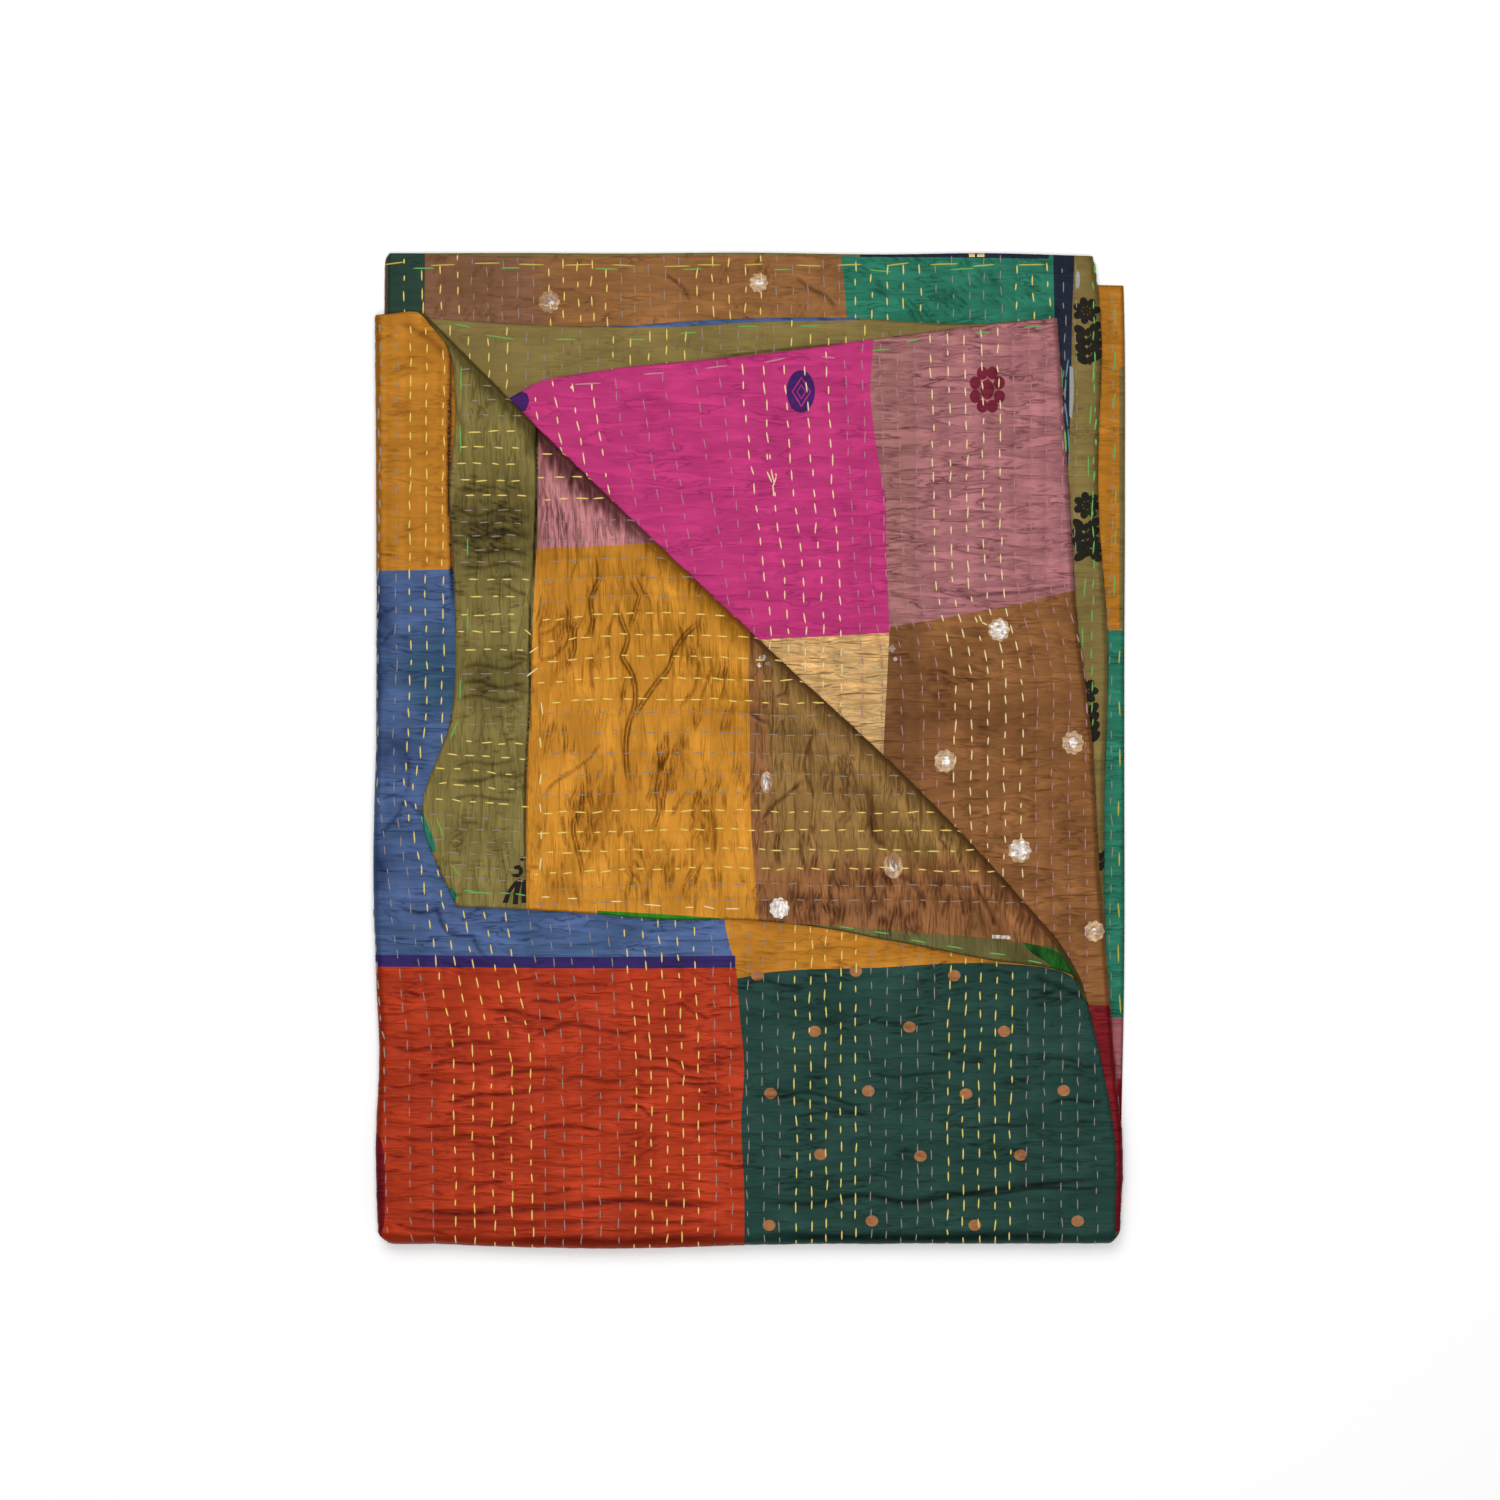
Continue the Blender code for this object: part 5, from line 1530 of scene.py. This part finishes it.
def sprig(x, y, turn=0.0, leaves=4, bloom=True):
    """A block-printed sprig in closed outlines: pairs of fat leaves on a stem and a round bloom above."""
    c, s = math.cos(turn), math.sin(turn)
    made = []

    def leaf(u, v, long, wide, lean):
        """One leaf, placed along and beside the sprig's stem."""
        made.append(oval(x + u * c - v * s, y + u * s + v * c, long, wide, turn=lean + turn, count=12))

    for k in range(leaves):
        v = -4 - 6.4 * k
        leaf(4.8, v, 10.6, 6.2, 0.75)
        leaf(-4.8, v - 1.5, 10.6, 6.2, -0.75)
        leaf(0.3, v - 3.0, 3.2, 6.4, 0)
    if bloom:
        for k in range(7):
            lean = 2 * math.pi * k / 7
            leaf(6.0 * math.cos(lean), 8 + 6.0 * math.sin(lean), 7.0, 5.6, lean)
        leaf(0, 8, 5.6, 5.6, 0)
    return made


UNDER_REGIONS = (
    Region("brown", "brown_under", 0, [block(-WIDE, -WIDE, WIDE, WIDE)]),
    Region("dark_teal", "dark_teal", 1, [curve([(-WIDE, 400), (-222, 400), (-222, 330), (-222.5, 290),
        (-223, 200), (-WIDE, 200)])]),
    Region("emerald", "emerald", 1, [curve([(62, 400), (62, 340), (65, 310), (67, 270), (67, 200),
        (230, 200), (230, 400)])]),
    Region("navy", "navy", 1, [curve([(207, 400), (207, 340), (208, 290), (209, 200), (210, 120),
        (240, 120), (240, 400)])]),
    Region("olive", "olive", 2, [curve([(222, 400), (221.5, 340), (220, 300), (219, 240), (216, 174),
        (212, 100), (205, -170), (240, -172), (WIDE, -172), (WIDE, 400)])]),
    Region("crimson", "crimson", 2, [curve([(190, -173), (240, -173), (WIDE, -174), (WIDE, -WIDE),
        (190, -WIDE)])]),
    Region("print", "black", 2, [
        *sprig(230, 292, 0.06),
        *sprig(229.5, 159, -0.05, 3),
        *sprig(230, 128, 3.0, 2, False),
        *sprig(229, 32, 0.05, 4),
        *sprig(239, -66, 0.0, 2, False),
    ]),
    Region("olive_rim", "olive", 2, [curve([(-222, 337.5), (-150, 336.8), (-60, 337.2), (20, 337.4),
        (75, 337.0), (75, 360), (-222, 360)])]),
    Region("navy_rim", "navy", 2, [curve([(75, 336.6), (140, 336.2), (204, 335.4), (204, 360),
        (75, 360)])]),
    Region("rim_spots", "gold", 3, [block(149.5, 336.6, 153.5, 345), block(155, 336.6, 160, 345)]),
    Region("zari", "zari", 1, [spot(-137, 306, 0.95), spot(6, 319, 0.85)]),
    Region("silver", "silver", 1, [oval(-137, 306, 7, 8, 5, 0.12), oval(6.5, 319, 5, 5, 5, 0.12)]),
    Region("grey_tab", "grey_silk", 3, [curve([(218.2, 262), (220.6, 261), (221.0, 244), (219.8, 226),
        (218.0, 228)]), oval(223.7, 321, 3.2, 12)]),
)

LOWEST_REGIONS = (
    Region("emerald", "emerald", 0, [block(-WIDE, -WIDE, WIDE, WIDE)]),
    Region("mustard", "mustard", 1, [block(-WIDE, 82, WIDE, WIDE)]),
    Region("rose", "rose", 1, [block(-WIDE, -228, WIDE, -183)]),
    Region("crimson", "crimson", 1, [block(-WIDE, -WIDE, WIDE, -225)]),
    Region("olive_rim", "olive", 2, [block(252.6, 83, 280, 262)]),
)

PIECED = (
    (FRONT, FRONT_REGIONS),
    (FLAP, FLAP_REGIONS),
    (INNER, INNER_REGIONS),
    (MIDDLE, MIDDLE_REGIONS),
    (UNDER, UNDER_REGIONS),
    (LOWEST, LOWEST_REGIONS),
)


def region_of(regions, points):
    """Which region each point of a face belongs to: the last one laid over it."""
    label = np.zeros(len(points), dtype=int)
    for k, region in enumerate(regions):
        for outline in region.outlines:
            label[within(points, outline)] = k
    return label


def piece(face, regions):
    """The patches of one face."""
    flat, faces = triangulate(face, regions)
    label = region_of(regions, flat[faces].mean(axis=1))
    hem_points = np.unique(open_edges(faces))
    return [
        patch(face, region, flat, faces[label == k], hem_points)
        for k, region in enumerate(regions)
        if (label == k).any()
    ]


# ---------------------------------------------------------------- sewing
STITCH, STEP = 0.0069, 0.0119  # length of a stitch, and from one to the next
STITCH_WIDTH, STITCH_HEIGHT, STITCH_ROOT = 0.00120, 0.00045, 0.00022
WIDTHS = {"grey": 0.00095}  # the thinner threads
CLEAR = 0.62  # of its length that a stitch keeps clear, each way from its middle


def sewn_places(face):
    """Middle, direction and length of each running stitch that shows, for each thread."""
    generator = np.random.default_rng(face.seed + 100)
    outline = border(face)
    end = 1 if face.rows == "q" else 0
    found = {}
    sewn = [(start, stop, *row) for start, stop, bands in face.zones for row in zip(*rows_of(bands))]
    for start, stop, row, thread in sewn:
        low, high = max(outline[:, end].min(), start * MM), min(outline[:, end].max(), stop * MM)
        count = int((high - low) / STEP) + 1
        along = low + STEP * (np.arange(count) + generator.uniform(0, 1))
        along = along + generator.normal(0, 0.0009, count)
        over = np.full(count, row)
        over = over + sway(face, along, over) + generator.normal(0, 0.00035, count)
        slope = (sway(face, along + 0.004, over) - sway(face, along - 0.004, over)) / 0.008
        slope = slope + generator.normal(0, 0.065, count)
        long = STITCH * np.clip(generator.normal(1.0, 0.20, count), 0.5, 1.5)
        middle = np.stack([over, along] if face.rows == "q" else [along, over], axis=1)
        way = np.stack([slope, np.ones(count)] if face.rows == "q" else [np.ones(count), slope], axis=1)
        way /= np.linalg.norm(way, axis=1)[:, None]
        keep = within(middle, outline) & face.shows(*middle.T)
        if face is FRONT:
            keep &= ~within(middle, FLAP_COVER)
        for sign in (-CLEAR, CLEAR):
            tip = middle + way * (long * sign)[:, None]
            keep &= within(tip, outline) & face.shows(*tip.T)
            keep &= (tip[:, end] > start * MM) & (tip[:, end] < stop * MM)
        found.setdefault(thread, []).append(np.concatenate([middle, way, long[:, None]], axis=1)[keep])
    return {thread: np.concatenate(rows) for thread, rows in found.items()}


def thread_mesh(name, face, regions, stitches, silk, width=STITCH_WIDTH, stations=5):
    """Low rounded stitches half sunk in the silk, joined in one mesh."""
    middle, way, long = stitches[:, :2], stitches[:, 2:4], stitches[:, 4]
    side = np.stack([-way[:, 1], way[:, 0]], axis=1)
    t = np.linspace(-1, 1, stations)
    s = np.array([-1.0, -0.55, 0.0, 0.55, 1.0])
    round_end = np.sqrt(np.clip(1 - np.abs(t) ** 3.2, 0.06, 1))
    dome = np.sqrt(np.clip(1 - s**2, 0, 1))
    layers = np.array([region.layers for region in regions])[region_of(regions, middle)]
    n = len(stitches)
    place = (
        middle[:, None, None, :]
        + way[:, None, None, :] * (long[:, None, None] / 2 * t[None, :, None])[..., None]
        + side[:, None, None, :] * (width / 2 * round_end[:, None] * s[None, :])[None, ..., None]
    )
    place = np.broadcast_to(place, (n, stations, 5, 2)).reshape(-1, 2)
    rise = -STITCH_ROOT + (STITCH_HEIGHT + STITCH_ROOT) * round_end[:, None] * dome[None, :]
    rise = (rise[None] + (LIFT * layers)[:, None, None]).reshape(-1)
    points = surface(face, *place.T, rise)
    corner = np.arange(n * stations * 5).reshape(n, stations, 5)
    quads = np.stack([corner[:, :-1, :-1], corner[:, :-1, 1:], corner[:, 1:, 1:], corner[:, 1:, :-1]],
        axis=-1)
    return build(name, points, quads.reshape(-1, 4).tolist(), flat_uv(face, *place.T),
        np.zeros(len(points)), silk)


# Long stitches along the hems, each from one end to the other, in millimetres on its face
Long = namedtuple("Long", "face thread ends")
LONG_STITCHES = (
    Long("flap", "light_green", [
        (-195, 262, -195, 245), (-196, 222, -196, 202), (-192, 145, -192, 131), (-192, 97, -192, 79),
        (-197, 48, -197, 34), (-199, 19, -204, 7), (-213, -46, -208, -61), (-203, -78, -197, -86),
        (-192, -97, -178, -97), (60, -120, 71, -121.5), (84, -123.5, 95, -125), (109, -129, 120, -131),
        (133, -133, 145, -135), (162, -138, 174, -139), (189, -142, 200, -143.5),
    ]),
    Long("flap", "cream", [
        (-142, 33, -141, 24), (-143, 9, -142, 1), (-142, -16, -143, -24), (-143, -36, -142, -43),
        (-142, -55, -142, -61), (-142, -73, -143, -82), (-142, -100, -136, -100), (-124, -101, -117, -101),
        (-95, -103, -87, -103), (-72, -105, -60, -106), (-44, -107, -38, -107), (-32, -106, -24, -108),
        (-17, -108, -7, -108), (-144, 70, -150, 66), (-144, 56, -152, 50),
    ]),
    Long("middle", "light_green", [
        (-181, 283, -160, 280), (-133, 280, -119, 280), (-84, 280, -71, 280), (-48, 284, -36, 285),
        (-9, 289, 6, 289), (34, 289, 47, 289), (96, 281, 108, 283), (-203, 291, -190, 288),
    ]),
    Long("inner", "pink_grey", [
        (-120, 249, -101, 250), (-73, 256, -58, 257), (-31, 260, -15, 262), (10, 264, 24, 267),
        (49, 268, 58, 267), (128, 281, 136, 283),
    ]),
    Long("inner", "light_green", [
        (82, 272, 96, 273), (106, 278, 116, 280), (153, 284, 164, 285), (186, 288, 201, 289),
        (212, 262, 213, 246), (214, 218, 215, 203),
    ]),
    Long("inner", "cream", [
        (11.5, 202, 12, 197.5), (11.5, 190, 15, 182), (15.5, 179, 18, 186.5), (18, 186.5, 17.5, 188.5),
        (16.5, 175.5, 17.5, 174.5), (17.5, 174.5, 16.8, 173), (16.8, 173, 15.7, 174),
        (15.7, 174, 16.3, 175.5), (-122.5, 247.5, -121, 246.2), (-121, 248.5, -122, 246),
        (156, 92, 158, 87), (158, 87, 162, 85),
    ]),
    Long("under", "blue_white", [
        (217.3, 267, 215.6, 254), (215.6, 254, 215.0, 238), (215.0, 238, 217, 220), (217, 220, 218, 202),
        (218, 202, 217.8, 195),
    ]),
    Long("under", "light_green", [
        (235, 266, 234, 250), (233, 236, 232, 222), (231, 201, 231, 186), (234, 172, 233, 156),
        (229, 118, 228, 104), (227, 84, 227, 70), (226, 52, 225, 38), (229, -8, 229, -24),
        (232, -48, 232, -62),
    ]),
)
# A hem's own row of long stitches, evenly spaced
HemRow = namedtuple("HemRow", "face thread start end step length")
HEM_ROWS = (
    HemRow("under", "hem_yellow", (-249, 331.5), (205, 330.5), 31, 17),
    HemRow("under", "light_green", (-232, 328.5), (190, 328), 62, 15),
    HemRow("lowest", "light_green", (250, 305), (250, 95), 31, 14),
    HemRow("lowest", "hem_yellow", (252.5, 70), (252, -180), 34, 12),
)


def long_stitches(face, regions):
    """The long stitches of a face, one piece for each thread."""
    generator = np.random.default_rng(face.seed + 200)
    found = {}
    for long in LONG_STITCHES:
        if long.face == face.name:
            found.setdefault(long.thread, []).extend(long.ends)
    for row in HEM_ROWS:
        if row.face != face.name:
            continue
        start, end = np.array(row.start, dtype=float), np.array(row.end, dtype=float)
        size = np.linalg.norm(end - start)
        way = (end - start) / size
        across_way = np.array([-way[1], way[0]])
        for at in np.arange(0, size - row.length, row.step):
            a = start + way * (at + generator.normal(0, 2)) + across_way * generator.normal(0, 0.6)
            b = a + way * row.length * generator.uniform(0.75, 1.2) + across_way * generator.normal(0, 0.9)
            found.setdefault(row.thread, []).append((*a, *b))
    made = []
    for thread, ends in found.items():
        ends = np.array(ends, dtype=float) * MM
        way = ends[:, 2:] - ends[:, :2]
        size = np.linalg.norm(way, axis=1)
        stitches = np.concatenate([(ends[:, :2] + ends[:, 2:]) / 2, way / size[:, None], size[:, None]],
            axis=1)
        name = f"{face.name}_{thread}_hem_stitches"
        made.append(thread_mesh(name, face, regions, stitches, thread, stations=9))
    return made


def sew(face, regions):
    """The running stitches of a face, one piece for each thread."""
    names = {"yellow": "yellow", "grey": "grey", "green": "light_green", "light_green": "light_green"}
    if face is INNER:
        names = {"yellow": "cream", "grey": "faint"}
    return long_stitches(face, regions) + [
        thread_mesh(f"{face.name}_{thread}_stitches", face, regions, stitches, names[thread],
            WIDTHS.get(thread, STITCH_WIDTH))
        for thread, stitches in sewn_places(face).items()
        if len(stitches)
    ]


# ---------------------------------------------------------------- the cloth's core
PANEL_STEPS, LEFT_STEPS, RIGHT_STEPS, BOTTOM_STEPS, RUN_STEPS = 36, 10, 8, 16, 48
WELD = 1e-6


def grid(strips, runs):
    """Coordinates and faces of a regular grid."""
    strip, run = (a.ravel() for a in np.meshgrid(strips, runs, indexing="ij"))
    first = np.arange(len(strips) * len(runs)).reshape(len(strips), len(runs))
    corners = (first[:-1, :-1], first[1:, :-1], first[1:, 1:], first[:-1, 1:])
    return np.stack([strip, run], axis=1), np.stack([c.ravel() for c in corners], axis=1).tolist()


def spread(strip, run):
    """X and Y on the top layer's upper half before the corner is turned back."""
    line = fold_line(strip)
    y = line + (hem(strip, under=False) - line) * (1 - run)
    return across(strip, edges_at(UPPER_EDGES, y)), y


def coordinates_of(x, y):
    """The strip and run coordinates of a spread-out point of the top layer's upper half."""
    left, _, right_hem, _ = edges_at(UPPER_EDGES, y)
    strip = np.clip((x - right_hem) / (left - right_hem), 0.0, 1.0)
    line, end = fold_line(strip), hem(strip, under=False)
    return strip, np.clip((end - y) / (end - line), 0.0, 1.0)


def core_front():
    """Coordinates and faces of the top layer's upper half, divided along the diagonal's roll."""
    low, runs = np.linspace(0, 1, PANEL_STEPS + 1), np.linspace(0, 1, RUN_STEPS + 1)
    strip = np.concatenate([low, np.ones(RUN_STEPS), low[::-1][1:], np.zeros(RUN_STEPS - 1)])
    run = np.concatenate([np.ones(PANEL_STEPS + 1), runs[::-1][1:], np.zeros(PANEL_STEPS), runs[1:-1]])
    outline = np.stack(spread(strip, run), axis=1)[::-1]
    points, lines = [*outline], []
    length = (TURN_END - TURN_START).length
    along = np.linspace(-0.08, 1.08, 60) * length
    start, radius, settle, _ = crease(along)
    shares = [math.pi * radius * k / 10 for k in range(11)]
    shares += [math.pi * radius + settle * k / 4 for k in (1, 2, 3, 4)]
    for turned in shares:
        first = len(points)
        points += [*np.stack(off_diagonal(along, start + turned), axis=1)]
        lines += [(k, k + 1) for k in range(first, len(points) - 1)]
    inner = np.linspace(0, 1, PANEL_STEPS + 1)[1:-1]
    strip, run = (a.ravel() for a in np.meshgrid(inner, inner))
    points += [*np.stack(spread(strip, run), axis=1)]
    made = delaunay_2d_cdt([Vector(p) for p in points], lines, [list(range(len(outline)))], 1, WELD)
    flat = np.array([tuple(p) for p in made[0]])
    faces = [list(face) for face, source in zip(made[2], made[5]) if source]
    return np.stack(coordinates_of(flat[:, 0], flat[:, 1]), axis=1), faces


def core():
    """The whole folded cloth under the patches, closed, with a rim along the hems."""
    panel, half = np.linspace(0, 1, PANEL_STEPS + 1), RUN_STEPS + 1
    runs = np.concatenate(
        [np.linspace(0, 1, half), np.linspace(1, 2, BOTTOM_STEPS + 1)[1:], np.linspace(2, 3, half)[1:]]
    )
    rest = np.concatenate(
        [
            np.linspace(1, 2, LEFT_STEPS + 1),
            2 + panel[1:],
            np.linspace(3, 4, RIGHT_STEPS + 1)[1:],
            4 + panel[1:],
        ]
    )
    coordinates, faces = [], []
    for points, polygons in (core_front(), grid(panel, runs[half - 1 :]), grid(rest, runs)):
        start = sum(len(c) for c in coordinates)
        coordinates.append(points)
        faces += [[start + k for k in polygon] for polygon in polygons]
    strip, run = np.concatenate(coordinates).T
    middle, out = fold_cloth(strip, run), normals(strip, run) * CORE_HALF
    tree = KDTree(len(middle))
    for k, point in enumerate(middle):
        tree.insert(point, k)
    tree.balance()
    same = [min(k for _, k, _ in tree.find_range(point, WELD)) for point in middle]
    merged = [list(dict.fromkeys(same[k] for k in face)) for face in faces]
    faces = [face for face in merged if len(face) > 2]
    edges = {edge for face in faces for edge in zip(face, face[1:] + face[:1])}
    rim = [(b, a, a + len(middle), b + len(middle)) for a, b in sorted(edges) if (b, a) not in edges]
    back = [[k + len(middle) for k in reversed(face)] for face in faces]
    points = np.concatenate([middle + out, middle - out])
    uv = np.tile(np.stack([strip / 5, run / 3], axis=1), (2, 1))
    # the lining has an even painted shade of 0.25 all over
    made = build("core", points, faces + back + rim, uv, np.full(len(points), 0.25), "lining")
    cloth = bmesh.new()
    cloth.from_mesh(made.data)
    bmesh.ops.delete(cloth, geom=[v for v in cloth.verts if not v.link_faces], context="VERTS")
    cloth.to_mesh(made.data)
    cloth.free()
    return made


# ---------------------------------------------------------------- camera, floor and lights
def lamp(name, place, size, power):
    """A square soft light aimed at the middle of the quilt."""
    light = bpy.data.lights.new(name, "AREA")
    light.shape, light.size, light.energy = "SQUARE", size, power
    made = bpy.data.objects.new(name, light)
    made.location = place
    made.rotation_euler = (-Vector(place)).to_track_quat("-Z", "Y").to_euler()
    bpy.context.scene.collection.objects.link(made)


CAMERA_HEIGHT, ABOVE_TOP = 3.02, 3.0  # metres over the floor, and over the quilt's upper side
SEEN_WIDTH, SENSOR = 1.02, 36  # metres across the picture, and millimetres across the sensor
FLOOR_GAP = 0.0002


def studio():
    """The camera straight above, a pale floor, an even sky and two soft lights."""
    scene = bpy.context.scene
    scene.view_settings.view_transform = "Standard"
    camera = bpy.data.cameras.new("camera")
    camera.lens, camera.sensor_width = SENSOR * ABOVE_TOP / SEEN_WIDTH, SENSOR
    made = bpy.data.objects.new("camera", camera)
    made.location = (0.0, 0.0, CAMERA_HEIGHT)
    scene.collection.objects.link(made)
    scene.camera = made
    mesh = bpy.data.meshes.new("floor")
    mesh.from_pydata([(-6, -6, 0), (6, -6, 0), (6, 6, 0), (-6, 6, 0)], [], [(0, 1, 2, 3)])
    floor = bpy.data.objects.new("floor", mesh)
    floor.location = (0, 0, -FLOOR_GAP)
    pale = bpy.data.materials.new("floor")
    pale.use_nodes = True
    pale.node_tree.nodes["Principled BSDF"].inputs["Base Color"].default_value = (0.98, 0.98, 0.98, 1)
    pale.node_tree.nodes["Principled BSDF"].inputs["Roughness"].default_value = 0.9
    mesh.materials.append(pale)
    scene.collection.objects.link(floor)
    world = bpy.data.worlds.new("world")
    world.use_nodes = True
    world.node_tree.nodes["Background"].inputs["Color"].default_value = (1, 1, 1, 1)
    world.node_tree.nodes["Background"].inputs["Strength"].default_value = 0.30
    scene.world = world
    lamp("front", (0.05, -0.25, 3.1), 1.0, 46)
    lamp("key", (-0.45, 1.45, 2.7), 1.8, 42)


# ---------------------------------------------------------------- put together
def main():
    """The core, and for each face its patches and its sewing."""
    sheet = core()
    pieces = []
    for face, regions in PIECED:
        pieces += piece(face, regions)
        pieces += sew(face, regions)
    for made in [sheet, *pieces]:
        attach(made, "root")
    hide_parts("quilt")
    studio()


main()
